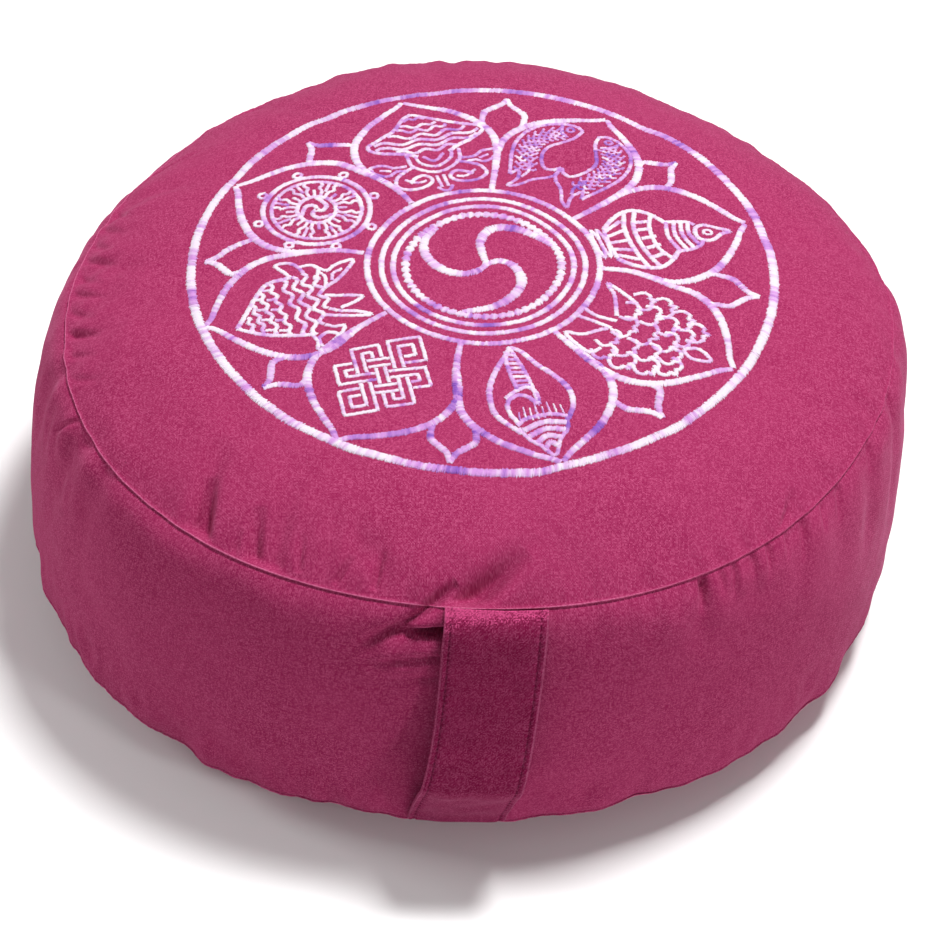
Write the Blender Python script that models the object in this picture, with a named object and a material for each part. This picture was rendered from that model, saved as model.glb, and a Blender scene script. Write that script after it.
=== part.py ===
"""A round filled meditation cushion with a carry handle, resting on its flat underside.

The origin is the middle of the resting patch, +Z is up, and the handle is at the front, on -Y.
Lengths are in metres. Angles round the cushion are in degrees from +X, anticlockwise from above.
"""

import bmesh
import bpy
from math import cos, exp, hypot, pi, radians, sin
from mathutils import Vector

# The cushion: two round panels and the side band between their seams.
SEAM_RADIUS = 0.165
SEAM_HEIGHT = 0.1212
CROWN = 0.0250
CROWN_POWER = 5.7
BASE_RADIUS = 0.1790
BASE_HEIGHT = 0.0180
BELLY = 0.0068
BELLY_SKEW = 0.61
BELLY_ROUND = 0.8
RESTING_SHARE = 0.66
UNDERSIDE_POWER = 1.9
LEAN_X = -0.0068
LEAN_Y = -0.0011
BAND_HEIGHT = SEAM_HEIGHT - BASE_HEIGHT

# The seams draw the cloth in.
TOP_SEAM_DRAW = 0.0018
BASE_SEAM_DRAW = 0.0010
SEAM_DRAW_REACH = 0.0050

# The panels are cut and filled a little out of round: how many crests, their size, and where one is.
SEAM_WAVES = (
    {"count": 2, "size": 0.0005, "crest": 156},
    {"count": 3, "size": 0.0022, "crest": 97},
    {"count": 4, "size": 0.0012, "crest": 14},
    {"count": 5, "size": 0.0008, "crest": 18},
)
BASE_WAVES = (
    {"count": 2, "size": 0.0013, "crest": 143},
    {"count": 3, "size": 0.0014, "crest": 73},
    {"count": 4, "size": 0.0012, "crest": 56},
)

# Gathers along the bottom seam, where the band and the underside pucker against each other. They
# fade out at the front, where the handle is sewn in.
GATHERS = (
    {"count": 21, "size": 0.0009, "crest": 8},
    {"count": 29, "size": 0.0007, "crest": 3},
)
GATHER_REACH = 0.013
FRONT = 270
FRONT_FLAT_ANGLE = 13

# Folds, each a trough pressed along a line from one end to the other, with a slight lip on each side.
# A reach is the distance from the top seam: above zero it lies on the top panel, below zero on the band.
FOLD_LIP = 0.3
FOLDS = (
    {"angle": 234, "reach": 0.002, "to_angle": 229, "to_reach": 0.024, "width": 0.0065, "depth": 0.0016},
    {"angle": 241, "reach": 0.002, "to_angle": 238, "to_reach": 0.026, "width": 0.0065, "depth": 0.0013},
    {"angle": 269, "reach": 0.002, "to_angle": 279, "to_reach": 0.033, "width": 0.0070, "depth": 0.0020},
    {"angle": 256, "reach": -0.021, "to_angle": 268, "to_reach": 0.012, "width": 0.0060, "depth": 0.0016},
    {"angle": 259, "reach": -0.013, "to_angle": 270, "to_reach": -0.009, "width": 0.0055, "depth": 0.0024},
    {"angle": 300, "reach": -0.001, "to_angle": 299, "to_reach": -0.022, "width": 0.0065, "depth": 0.0014},
    {"angle": 315, "reach": -0.001, "to_angle": 314, "to_reach": -0.024, "width": 0.0080, "depth": 0.0012},
    {"angle": 204, "reach": 0.000, "to_angle": 198, "to_reach": -0.030, "width": 0.0060, "depth": 0.0013},
    {"angle": 190, "reach": 0.002, "to_angle": 191, "to_reach": 0.020, "width": 0.0060, "depth": 0.0010},
    {"angle": 175, "reach": 0.002, "to_angle": 177, "to_reach": 0.024, "width": 0.0060, "depth": 0.0011},
    {"angle": 160, "reach": 0.002, "to_angle": 152, "to_reach": 0.034, "width": 0.0080, "depth": 0.0016},
    {"angle": 128, "reach": 0.002, "to_angle": 126, "to_reach": 0.030, "width": 0.0075, "depth": 0.0013},
    {"angle": 96, "reach": 0.001, "to_angle": 98, "to_reach": -0.028, "width": 0.0075, "depth": 0.0014},
    {"angle": 62, "reach": 0.002, "to_angle": 58, "to_reach": 0.026, "width": 0.0075, "depth": 0.0013},
    {"angle": 24, "reach": 0.001, "to_angle": 21, "to_reach": -0.030, "width": 0.0075, "depth": 0.0013},
    {"angle": 345, "reach": -0.004, "to_angle": 341, "to_reach": -0.046, "width": 0.0090, "depth": 0.0014},
)

# The handle: a flat strap from seam to seam, with slack that hangs as a low loop. Each row gives how
# far down the band the strap's middle is, how far it stands off the cloth, and its shift along X.
STRAP_WIDTH = 0.038
STRAP_THICKNESS = 0.0020
STRAP_EDGE_ROUND = 0.0006
STRAP_CURL = 0.0011
STRAP_ROUTE = (
    {"down": 0.000, "off": 0.0007, "shift": 0.0092},
    {"down": 0.060, "off": 0.0012, "shift": 0.0090},
    {"down": 0.160, "off": 0.0024, "shift": 0.0085},
    {"down": 0.300, "off": 0.0056, "shift": 0.0074},
    {"down": 0.450, "off": 0.0098, "shift": 0.0056},
    {"down": 0.565, "off": 0.0138, "shift": 0.0036},
    {"down": 0.635, "off": 0.0158, "shift": 0.0022},
    {"down": 0.680, "off": 0.0148, "shift": 0.0013},
    {"down": 0.725, "off": 0.0120, "shift": 0.0005},
    {"down": 0.790, "off": 0.0087, "shift": -0.0006},
    {"down": 0.860, "off": 0.0055, "shift": -0.0018},
    {"down": 0.920, "off": 0.0026, "shift": -0.0028},
    {"down": 0.970, "off": 0.0012, "shift": -0.0036},
)
STRAP_STEPS = 3
STRAP_FACES_ACROSS = 6

# Mesh steps: columns round the cushion, and rows along its section.
COLUMNS = 144
PANEL_RINGS = (
    {"share": 0.16, "coarser": 4},
    {"share": 0.34, "coarser": 4},
    {"share": 0.50, "coarser": 2},
    {"share": 0.64, "coarser": 2},
    {"share": 0.75, "coarser": 1},
    {"share": 0.83, "coarser": 1},
    {"share": 0.90, "coarser": 1},
    {"share": 0.95, "coarser": 1},
    {"share": 0.98, "coarser": 1},
    {"share": 1.00, "coarser": 1},
)
BAND_ROWS = (0.03, 0.08, 0.15, 0.24, 0.36, 0.50, 0.64, 0.77, 0.87, 0.94, 0.98, 1.00)
UNDER_RINGS = (
    {"share": 0.98, "coarser": 1},
    {"share": 0.95, "coarser": 1},
    {"share": 0.90, "coarser": 1},
    {"share": 0.83, "coarser": 1},
    {"share": 0.75, "coarser": 1},
    {"share": RESTING_SHARE, "coarser": 2},
    {"share": 0.36, "coarser": 4},
)

# Steps over which a surface's slope is measured.
SLOPE_SHARE = 0.01
SLOPE_ANGLE = 1.0

CLOTH_COLOUR = (0.300, 0.038, 0.125, 1.0)
CLOTH_ROUGHNESS = 0.82
STRAP_COLOUR = (0.205, 0.026, 0.085, 1.0)
STRAP_ROUGHNESS = 0.74


def clear_scene():
    """Remove every object that the scene starts with."""
    for item in list(bpy.data.objects):
        bpy.data.objects.remove(item, do_unlink=True)


def cloth_material(name, colour, roughness):
    """A plain woven cloth."""
    material = bpy.data.materials.new(name)
    material.use_nodes = True
    shader = material.node_tree.nodes["Principled BSDF"]
    shader.inputs["Base Color"].default_value = colour
    shader.inputs["Roughness"].default_value = roughness
    shader.inputs["Metallic"].default_value = 0.0
    return material


def add_object(name, mesh, material):
    """Put a finished mesh into the scene, shaded smooth."""
    mesh.materials.append(material)
    mesh.shade_smooth()
    item = bpy.data.objects.new(name, mesh)
    bpy.context.collection.objects.link(item)


def wave_sum(rows, angle):
    """How far a table of waves pushes out at an angle."""
    return sum(row["size"] * cos(row["count"] * radians(angle - row["crest"])) for row in rows)


def top_point(share, angle):
    """A point of the top panel, at a share of the way from its middle to its seam."""
    radius = share * (SEAM_RADIUS + wave_sum(SEAM_WAVES, angle))
    height = SEAM_HEIGHT + CROWN * (1 - share**CROWN_POWER)
    return Vector((radius * cos(radians(angle)), radius * sin(radians(angle)), height))


def band_point(down, angle):
    """A point of the side band, at a share of the way down from the top seam to the bottom one."""
    mean = SEAM_RADIUS + (BASE_RADIUS - SEAM_RADIUS) * down
    bulge = BELLY * sin(pi * min(down, 1.0) ** BELLY_SKEW) ** BELLY_ROUND
    waves = wave_sum(SEAM_WAVES, angle) * (1 - down) + wave_sum(BASE_WAVES, angle) * down
    radius = mean + bulge + waves
    x = radius * cos(radians(angle)) + LEAN_X * down
    y = radius * sin(radians(angle)) + LEAN_Y * down
    return Vector((x, y, SEAM_HEIGHT - BAND_HEIGHT * down))


def under_point(share, angle):
    """A point of the underside, at a share of the way from its middle to the bottom seam."""
    radius = share * (BASE_RADIUS + wave_sum(BASE_WAVES, angle))
    rise = max(share - RESTING_SHARE, 0.0) / (1 - RESTING_SHARE)
    x = radius * cos(radians(angle)) + LEAN_X * share
    y = radius * sin(radians(angle)) + LEAN_Y * share
    return Vector((x, y, BASE_HEIGHT * rise**UNDERSIDE_POWER))


def fold_press(row, angle, reach):
    """How far one fold presses the cloth in: deepest along its middle, fading at its ends."""
    turn = (angle - row["angle"] + 180) % 360 - 180
    across = radians(turn) * SEAM_RADIUS
    along = reach - row["reach"]
    end_across = radians(row["to_angle"] - row["angle"]) * SEAM_RADIUS
    end_along = row["to_reach"] - row["reach"]
    length = hypot(end_across, end_along)
    forward = (across * end_across + along * end_along) / length
    sideways = (across * end_along - along * end_across) / length
    if not -row["width"] < forward < length + row["width"]:
        return 0.0
    fade = sin(pi * (forward + row["width"]) / (length + 2 * row["width"]))
    ratio = sideways / row["width"]
    return row["depth"] * fade * (1 - FOLD_LIP * ratio * ratio) * exp(-ratio * ratio)


def press(angle, reach):
    """How far the seams, folds and gathers move a point along the outward normal."""
    from_top = reach / SEAM_DRAW_REACH
    from_bottom = (reach + BAND_HEIGHT) / SEAM_DRAW_REACH
    top_seam = TOP_SEAM_DRAW * exp(-from_top * from_top)
    base_seam = BASE_SEAM_DRAW * exp(-from_bottom * from_bottom)
    folds = sum(fold_press(row, angle, reach) for row in FOLDS)
    edge = (reach + BAND_HEIGHT) / GATHER_REACH
    from_front = (angle - FRONT) / FRONT_FLAT_ANGLE
    gathers = wave_sum(GATHERS, angle) * exp(-edge * edge) * (1 - exp(-from_front * from_front))
    return gathers - top_seam - base_seam - folds


def pressed_point(shape, station, angle, reach):
    """A point of one panel, moved along the panel's outward normal by the cloth's folds."""
    before = max(station - SLOPE_SHARE, 0.0)
    after = min(station + SLOPE_SHARE, 1.0)
    along = shape(after, angle) - shape(before, angle)
    around = shape(station, angle + SLOPE_ANGLE) - shape(station, angle - SLOPE_ANGLE)
    normal = along.cross(around).normalized()
    if shape is under_point:
        normal.negate()
    return shape(station, angle) + normal * press(angle, reach)


def ring_angles(coarser):
    """The angles of a ring's points, fewer near the middle of a panel."""
    count = COLUMNS // coarser
    return [360 * index / count for index in range(count)]


def cushion_rings():
    """Every ring of the cushion, from the middle of the top panel to the middle of the underside."""
    rings = []
    for row in PANEL_RINGS:
        share = row["share"]
        reach = (1 - share) * SEAM_RADIUS
        angles = ring_angles(row["coarser"])
        rings.append([pressed_point(top_point, share, angle, reach) for angle in angles])
    for down in BAND_ROWS:
        reach = -down * BAND_HEIGHT
        rings.append([pressed_point(band_point, down, angle, reach) for angle in ring_angles(1)])
    for row in UNDER_RINGS:
        share = row["share"]
        reach = -BAND_HEIGHT - (1 - share) * BASE_RADIUS
        angles = ring_angles(row["coarser"])
        points = [pressed_point(under_point, share, angle, reach) for angle in angles]
        if share <= RESTING_SHARE:
            points = [Vector((point.x, point.y, 0.0)) for point in points]
        rings.append(points)
    return rings


def join_rings(bm, upper, lower):
    """Fill between two rings, where one may have a whole multiple of the other's points."""
    few = min(len(upper), len(lower))
    upper_step = len(upper) // few
    lower_step = len(lower) // few
    for index in range(few):
        here = index * upper_step
        below = index * lower_step
        upper_run = [upper[(here + step) % len(upper)] for step in range(upper_step + 1)]
        lower_run = [lower[(below + step) % len(lower)] for step in range(lower_step + 1)]
        if upper_step == lower_step:
            bm.faces.new((upper_run[0], lower_run[0], lower_run[1], upper_run[1]))
        elif lower_step > upper_step:
            middle = lower_step // 2
            for step in range(lower_step):
                corner = upper_run[0] if step < middle else upper_run[1]
                bm.faces.new((corner, lower_run[step], lower_run[step + 1]))
            bm.faces.new((upper_run[0], lower_run[middle], upper_run[1]))
        else:
            middle = upper_step // 2
            for step in range(upper_step):
                corner = lower_run[0] if step < middle else lower_run[1]
                bm.faces.new((upper_run[step], corner, upper_run[step + 1]))
            bm.faces.new((upper_run[middle], lower_run[0], lower_run[1]))


def close_ring(bm, ring, centre, facing_up):
    """Fill a ring to its middle point."""
    hub = bm.verts.new(centre)
    for index, vert in enumerate(ring):
        after = ring[(index + 1) % len(ring)]
        corners = (hub, vert, after) if facing_up else (hub, after, vert)
        bm.faces.new(corners)


def filled_cushion():
    """The two panels, the band and the filling, as one solid."""
    bm = bmesh.new()
    rings = [[bm.verts.new(point) for point in ring] for ring in cushion_rings()]
    for upper, lower in zip(rings, rings[1:]):
        join_rings(bm, upper, lower)
    close_ring(bm, rings[0], top_point(0.0, 0.0), True)
    close_ring(bm, rings[-1], under_point(0.0, 0.0), False)
    bmesh.ops.triangulate(bm, faces=bm.faces[:])
    mesh = bpy.data.meshes.new("filled_cushion")
    bm.to_mesh(mesh)
    bm.free()
    add_object("filled_cushion", mesh, cloth_material("panel_cloth", CLOTH_COLOUR, CLOTH_ROUGHNESS))


def route_value(rows, key, position):
    """A table column read on a smooth curve, at a position counted in rows."""
    index = min(int(position), len(rows) - 2)
    share = position - index
    before = rows[max(index - 1, 0)][key]
    start = rows[index][key]
    end = rows[index + 1][key]
    after = rows[min(index + 2, len(rows) - 1)][key]
    slope_in = (end - before) / 2
    slope_out = (after - start) / 2
    rise = end - start
    curve = slope_in + (3 * rise - 2 * slope_in - slope_out) * share
    return start + share * (curve + (slope_in + slope_out - 2 * rise) * share * share)


def strap_frames():
    """Middle point and outward direction at each step of the strap's route."""
    points = []
    steps = (len(STRAP_ROUTE) - 1) * STRAP_STEPS
    for step in range(steps + 1):
        position = step / STRAP_STEPS
        down = route_value(STRAP_ROUTE, "down", position)
        surface = band_point(down, FRONT)
        x = route_value(STRAP_ROUTE, "shift", position)
        y = surface.y - route_value(STRAP_ROUTE, "off", position)
        points.append(Vector((x, y, surface.z)))
    frames = []
    for index, point in enumerate(points):
        along = points[min(index + 1, steps)] - points[max(index - 1, 0)]
        outward = Vector((1, 0, 0)).cross(along).normalized()
        frames.append((point, outward))
    return frames


def strap_section():
    """The strap's outline across: offsets along X and outwards, with rounded edges."""
    half = STRAP_WIDTH / 2
    flat = half - STRAP_EDGE_ROUND
    thick = STRAP_THICKNESS / 2
    across = [flat * (2 * step / STRAP_FACES_ACROSS - 1) for step in range(STRAP_FACES_ACROSS + 1)]
    outline = [(x, thick) for x in across]
    outline.append((half, 0.0))
    outline += [(x, -thick) for x in reversed(across)]
    outline.append((-half, 0.0))
    return outline


def carry_handle():
    """The flat strap that is sewn into both seams at the front."""
    outline = strap_section()
    bm = bmesh.new()
    rings = []
    for middle, outward in strap_frames():
        ring = []
        for x, lift in outline:
            curl = STRAP_CURL * (2 * x / STRAP_WIDTH) ** 2
            point = middle + Vector((x, curl, 0.0)) + outward * lift
            ring.append(bm.verts.new(point))
        rings.append(ring)
    for upper, lower in zip(rings, rings[1:]):
        join_rings(bm, upper, lower)
    bm.faces.new(list(reversed(rings[-1])))
    bm.faces.new(rings[0])
    bmesh.ops.recalc_face_normals(bm, faces=bm.faces[:])
    bmesh.ops.triangulate(bm, faces=bm.faces[:])
    mesh = bpy.data.meshes.new("carry_handle")
    bm.to_mesh(mesh)
    bm.free()
    add_object("carry_handle", mesh, cloth_material("strap_twill", STRAP_COLOUR, STRAP_ROUGHNESS))


def main():
    """Build the cushion and its handle."""
    clear_scene()
    filled_cushion()
    carry_handle()


main()
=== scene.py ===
"""The finish of a zafu meditation cushion: its cotton cover, its carry strap and its embroidery.

Everything is in metres, with the middle of the resting patch at the origin, +Z up and the strap
at the front, on -Y. Angles are in degrees, counted from +X towards +Y. "Reach" is the distance
along the cloth from the top seam: above zero on the top panel, below zero on the side band.
"""

from math import ceil, cos, hypot, pi, radians, sin

import bpy
import numpy as np
from bpy.props import FloatProperty, FloatVectorProperty, IntProperty, PointerProperty
from bpy.types import NodeSocket, Operator, Panel, PropertyGroup
from mathutils import Matrix, Vector
from mathutils.bvhtree import BVHTree


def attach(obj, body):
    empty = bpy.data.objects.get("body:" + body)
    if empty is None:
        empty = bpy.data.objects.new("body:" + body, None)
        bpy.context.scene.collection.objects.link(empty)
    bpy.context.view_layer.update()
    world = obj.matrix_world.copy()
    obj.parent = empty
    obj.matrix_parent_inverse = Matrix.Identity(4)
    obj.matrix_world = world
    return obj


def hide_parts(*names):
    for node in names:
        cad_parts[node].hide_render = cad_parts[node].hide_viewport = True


bl_info = {
    "name": "Zafu meditation cushion",
    "version": (1, 0, 0),
    "blender": (4, 5, 0),
    "location": "View3D > Sidebar > Zafu",
    "description": "Builds the cover, strap and embroidery of a round meditation cushion",
    "category": "Add Mesh",
}

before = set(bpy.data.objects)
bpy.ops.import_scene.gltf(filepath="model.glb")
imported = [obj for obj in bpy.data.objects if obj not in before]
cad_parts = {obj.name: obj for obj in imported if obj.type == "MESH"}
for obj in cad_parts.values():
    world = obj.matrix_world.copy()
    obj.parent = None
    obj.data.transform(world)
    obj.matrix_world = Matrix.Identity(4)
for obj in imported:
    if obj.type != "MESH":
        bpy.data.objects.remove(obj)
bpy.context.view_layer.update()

# The turned shape of the filled cover, as the part's solid has it.
CROWN_POWER = 5.7
BELLY_SKEW = 0.61
BELLY_ROUND = 0.8
SEAM_EASE = 0.022
RESTING_SHARE = 0.66
UNDERSIDE_POWER = 1.9
LEAN_X = -0.0068
LEAN_Y = -0.0011
SLOPE_STEP = 0.01

# How the two seam rings run in and out: waves round the ring, size, and angle of one crest.
SEAM_WAVES = ((2, 0.0005, 156), (3, 0.0022, 97), (4, 0.0012, 14), (5, 0.0008, 18))
BASE_WAVES = ((2, 0.0013, 143), (3, 0.0014, 73), (4, 0.0012, 56))
GATHERS = ((17, 0.0005, 8), (29, 0.0005, 3), (37, 0.0004, 5))
GATHER_REACH = 0.013
FRONT = 270
FRONT_FLAT_ANGLE = 13

# The cover's grid: columns lie closer on one side, and rows start close to a seam and widen. Each
# panel's rows have the share of it that they cover, their growth and their widest step.
COLUMNS_CLOSER = 0.4
CLOSEST_TURN = radians(240)
FINEST_ROW = 0.00028
PANEL_ROWS = (0.992, 1.036, 0.0038)
BAND_ROWS = (0.5, 1.11, 0.0016)
UNDER_ROWS = (0.985, 1.12, 0.0055)

# The radius at which the band's strip of cloth is laid out flat, and the seam distance, in
# millimetres, of the two points that are farthest from both seams.
STRIP_RADIUS = 0.176
FAR_FROM_SEAM = 100

# Folds pressed into the cloth: angle and reach of both ends, half width and depth.
FOLD_LIP = 0.45
FOLD_START = 0.68
FOLD_ENDS = 0.8
FOLD_HELD = 0.005
FOLD_CLEAR = 0.0016
SOFT_FOLDS = (
    (231, 0.001, 226, 0.028, 0.0060, 0.0028), (243, 0.001, 241, 0.026, 0.0060, 0.0026),
    (268, 0.000, 278, 0.020, 0.0060, 0.0034), (256, -0.021, 268, 0.012, 0.0060, 0.0016),
    (270, -0.009, 259, -0.013, 0.0055, 0.0024), (300, -0.001, 299, -0.024, 0.0060, 0.0012),
    (308, -0.002, 307, -0.030, 0.0075, 0.0012), (316, -0.001, 315, -0.030, 0.0065, 0.0014),
    (325, -0.001, 323, -0.034, 0.0070, 0.0012), (334, -0.002, 331, -0.048, 0.0080, 0.0018),
    (207, -0.002, 201, -0.056, 0.0070, 0.0026), (214, -0.004, 212, -0.058, 0.0080, 0.0014),
    (192, -0.002, 190, -0.050, 0.0070, 0.0024), (190, 0.002, 191, 0.020, 0.0060, 0.0010),
    (175, 0.002, 177, 0.024, 0.0060, 0.0011), (160, 0.002, 152, 0.034, 0.0080, 0.0016),
    (128, 0.002, 126, 0.030, 0.0075, 0.0013), (96, 0.001, 98, -0.028, 0.0075, 0.0014),
    (62, 0.002, 58, 0.026, 0.0075, 0.0007), (24, 0.001, 21, -0.030, 0.0075, 0.0008),
    (345, -0.004, 341, -0.056, 0.0080, 0.0022), (356, -0.002, 354, -0.050, 0.0075, 0.0016),
    (150, -0.002, 152, -0.052, 0.0080, 0.0022), (134, -0.002, 133, -0.034, 0.0070, 0.0016),
    (118, -0.002, 116, -0.045, 0.0075, 0.0020), (84, -0.002, 85, -0.036, 0.0075, 0.0017),
    (70, -0.002, 72, -0.048, 0.0080, 0.0022), (45, -0.002, 44, -0.040, 0.0070, 0.0019),
    (33, -0.002, 31, -0.052, 0.0080, 0.0021), (12, -0.002, 13, -0.038, 0.0075, 0.0019),
)
CRISP_FOLDS = (
    (232.6, -0.001, 228.6, 0.0160, 0.0038, 0.0040), (237.6, 0.000, 237.2, 0.007, 0.0015, 0.0013),
    (240.6, -0.001, 238.2, 0.0145, 0.0036, 0.0038), (246.5, 0.004, 245.5, 0.013, 0.0017, 0.0012),
    (252.0, 0.003, 253.0, 0.010, 0.0016, 0.0013), (257.0, 0.004, 257.3, 0.014, 0.0017, 0.0016),
    (267.4, 0.0062, 256.4, -0.018, 0.0022, 0.0034), (268.8, -0.001, 276.8, 0.0150, 0.0044, 0.0040),
    (272.0, -0.0066, 259.6, -0.0112, 0.0021, 0.0076),
    (267.4, -0.0178, 257.6, -0.0246, 0.0018, 0.0026),
    (267.0, -0.0270, 259.5, -0.0310, 0.0019, 0.0012), (300.9, 0.000, 300.3, -0.012, 0.0017, 0.0027),
    (303.6, -0.001, 303.2, -0.008, 0.0015, 0.0014), (305.8, 0.000, 304.8, -0.011, 0.0017, 0.0020),
    (308.9, -0.001, 308.2, -0.008, 0.0015, 0.0012), (311.6, 0.000, 310.2, -0.012, 0.0017, 0.0020),
    (314.8, -0.001, 313.8, -0.009, 0.0015, 0.0013), (318.4, 0.000, 316.6, -0.013, 0.0018, 0.0019),
    (322.4, -0.001, 321.0, -0.009, 0.0016, 0.0013), (326.6, 0.000, 324.8, -0.012, 0.0018, 0.0016),
    (313.6, -0.001, 319.0, 0.007, 0.0020, 0.0018), (336.0, 0.000, 334.4, -0.010, 0.0018, 0.0014),
    (346.0, 0.000, 345.0, -0.012, 0.0018, 0.0014), (203.6, 0.000, 198.8, -0.019, 0.0012, 0.0016),
    (160.0, 0.001, 163.0, 0.013, 0.0018, 0.0012), (164.0, 0.001, 167.5, 0.015, 0.0018, 0.0014),
    (167.6, 0.001, 171.4, 0.013, 0.0018, 0.0012), (171.2, 0.001, 175.4, 0.017, 0.0019, 0.0017),
    (175.0, 0.001, 179.0, 0.013, 0.0018, 0.0012), (178.6, 0.001, 183.0, 0.016, 0.0019, 0.0016),
    (182.4, 0.001, 186.8, 0.012, 0.0018, 0.0011), (186.6, 0.000, 190.6, 0.013, 0.0020, 0.0022),
    (191.4, 0.001, 195.0, 0.011, 0.0018, 0.0011), (196.4, 0.001, 199.6, 0.010, 0.0018, 0.0008),
    (149.0, 0.001, 144.0, 0.016, 0.0022, 0.0012), (118.0, 0.001, 121.0, 0.015, 0.0022, 0.0007),
    (76.0, 0.001, 74.0, 0.014, 0.0022, 0.0007), (38.0, 0.001, 41.0, 0.015, 0.0022, 0.0007),
    (12.0, 0.000, 9.0, -0.016, 0.0022, 0.0009), (52.0, 0.000, 50.0, -0.015, 0.0022, 0.0008),
    (108.0, 0.000, 106.0, -0.016, 0.0022, 0.0008), (140.0, 0.000, 143.0, -0.016, 0.0022, 0.0009),
    (170.0, 0.000, 172.0, -0.014, 0.0022, 0.0008),
)

# Rumpled places: angle and reach of the middle, half width in degrees and in reach, and depth.
RUMPLES = (
    (256, 0.011, 13, 0.011, 0.00065), (203, -0.014, 15, 0.022, 0.00040),
    (262, -0.022, 9, 0.014, 0.00045), (305, -0.006, 14, 0.012, 0.00040),
    (172, 0.010, 20, 0.014, 0.00045), (330, 0.008, 18, 0.010, 0.00030),
    (95, 0.010, 30, 0.013, 0.00035), (230, -0.092, 40, 0.014, 0.00045),
    (305, -0.092, 30, 0.014, 0.00035),
)
RUMPLE_SIZE = 0.011
RUMPLE_STRETCH = 0.45

# Where the pressed edge and the groove of a seam lie beside the sewing, and how wide they are.
RIDGE_AT, RIDGE_WIDTH = 0.0001, 0.00040
GROOVE_AT, GROOVE_WIDTH = -0.0007, 0.00042

# How the sewing pulls the cloth in beside the top and the bottom seam. Then its dents: where they
# lie, how far they reach, their share at the bottom, how they wander along the seam, with the size,
# length and start of each wave, and how their depth changes. Then the longer draws that fan out.
PULL_DEPTH, TOP_PULL_REACH, BASE_PULL_REACH = 0.0006, 0.006, 0.005
PUCKER_AT, PUCKER_REACH, BASE_PUCKERS = 0.0015, 0.0035, 0.45
PUCKER_WANDER = ((0.35, 0.017, 0), (0.3, 0.0071, 1))
PUCKER_LEAST, PUCKER_CHANGE = 0.7, 0.6
DRAW_DEPTH, DRAW_SIZE, DRAW_STRETCH = 0.00035, 0.016, 0.12
TOP_DRAW_REACH, BASE_DRAW_REACH = 0.013, 0.015

# Broad lumps of the filling and small uneven pulls of the cloth: depth, size and seed.
LUMPS = ((0.0005, 0.06, 5), (0.00018, 0.018, 8))

# The coarse cover that is blown up to find where its cloth gathers: its rows as shares of each
# panel, faces round it, time steps, the most that a place may move, and the cloth's settings with
# the pressure of the filling.
TRIAL_TOP = np.linspace(0.03, 1, 31)
TRIAL_SIDE = np.linspace(0, 1, 21)[1:]
TRIAL_UNDER = np.linspace(1, 0.6, 10)[1:]
TRIAL_COLUMNS = 180
TRIAL_STEPS = 20
TRIAL_CAP = 0.0022
TRIAL_CLOTH = {
    "quality": 5,
    "mass": 0.15,
    "tension_stiffness": 15,
    "compression_stiffness": 15,
    "shear_stiffness": 6,
    "bending_stiffness": 0.3,
    "air_damping": 5,
    "use_pressure": True,
    "uniform_pressure_force": 4.0,
    "vertex_group_mass": "held",
}

# The strap's route from the top seam to the bottom one: share of the way down the band, how far
# its middle stands off the band, and how far it is shifted to +X.
STRAP_ROUTE = (
    (0.000, 0.0007, 0.0092), (0.022, 0.0026, 0.0091), (0.050, 0.0034, 0.0090),
    (0.100, 0.0034, 0.0087), (0.180, 0.0038, 0.0083), (0.300, 0.0060, 0.0074),
    (0.450, 0.0098, 0.0056), (0.565, 0.0138, 0.0036), (0.635, 0.0158, 0.0022),
    (0.680, 0.0148, 0.0013), (0.725, 0.0120, 0.0005), (0.790, 0.0087, -0.0006),
    (0.860, 0.0055, -0.0018), (0.920, 0.0026, -0.0028), (0.970, 0.0012, -0.0036),
)

# The strap's grid, how finely its route is read, how close together its points lie at the rim, and
# the room that the rim keeps.
STRAP_STEPS = 150
ROUTE_STEPS = 40
STRAP_ACROSS = 46
RIM_CROWDING = 0.94
RIM_ROOM = 0.0006

# The line that the topstitching sinks into the strap, the raised hem outside it, the waves of the
# edges, the dents of the stitches and the strap's own soft unevenness.
SEWN_DEPTH, SEWN_WIDTH = 0.00055, 0.0006
HEM_HEIGHT, HEM_AT, HEM_WIDTH = 0.00018, 0.0011, 0.0009
WOBBLE_SIZE, WOBBLE_LENGTH = 0.00022, 0.0105
DENT_DEPTH, DENT_WIDTH = 0.00022, 0.0016
SOFT_DEPTH, SOFT_SIZE = 0.00016, 0.012

# One topstitch: its share of the pitch to either side, its width and height, and how deep it lies.
TOPSTITCH_HALF, TOPSTITCH_WIDTH, TOPSTITCH_HEIGHT, TOPSTITCH_SUNK = 0.40, 0.00055, 0.00045, 0.0003

# A laid thread from -1 to 1: where it is cut, and from where to where it is narrowed and moved up.
STITCH_CUTS = (-0.72, 0.0, 0.72)
STITCH_BENDS = ((-1.1, -0.9, 0.45, -0.55), (0.9, 1.1, 0.45, -0.55), (-0.3, 0.3, 1.0, 0.35))
THREAD_RADIUS = 0.0004
NEXT_THREAD = 0.013

# Satin stitches: their slant over the line and its spread, the spread of their width, height and
# place, how long a line takes to thin, the neck and the bulge of its beads, and how far they stand
# off the cloth.
SLANT, SLANT_SPREAD = 0.16, 0.06
WIDTH_SPREAD, HEIGHT_SPREAD, PLACE_SPREAD = 0.08, 0.10, 0.00009
TAPER_LENGTH = 0.006
BEAD_NECK, BEAD_BULGE, BEAD_ROUND = 0.52, 0.85, 0.7
LOOK_AHEAD = 0.0005
THREAD_LIFT = 0.0001
DROP_FROM = 0.3
FULL_WIDTH, LEAST_RISE, MOST_RISE = 0.0028, 0.62, 1.35

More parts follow.
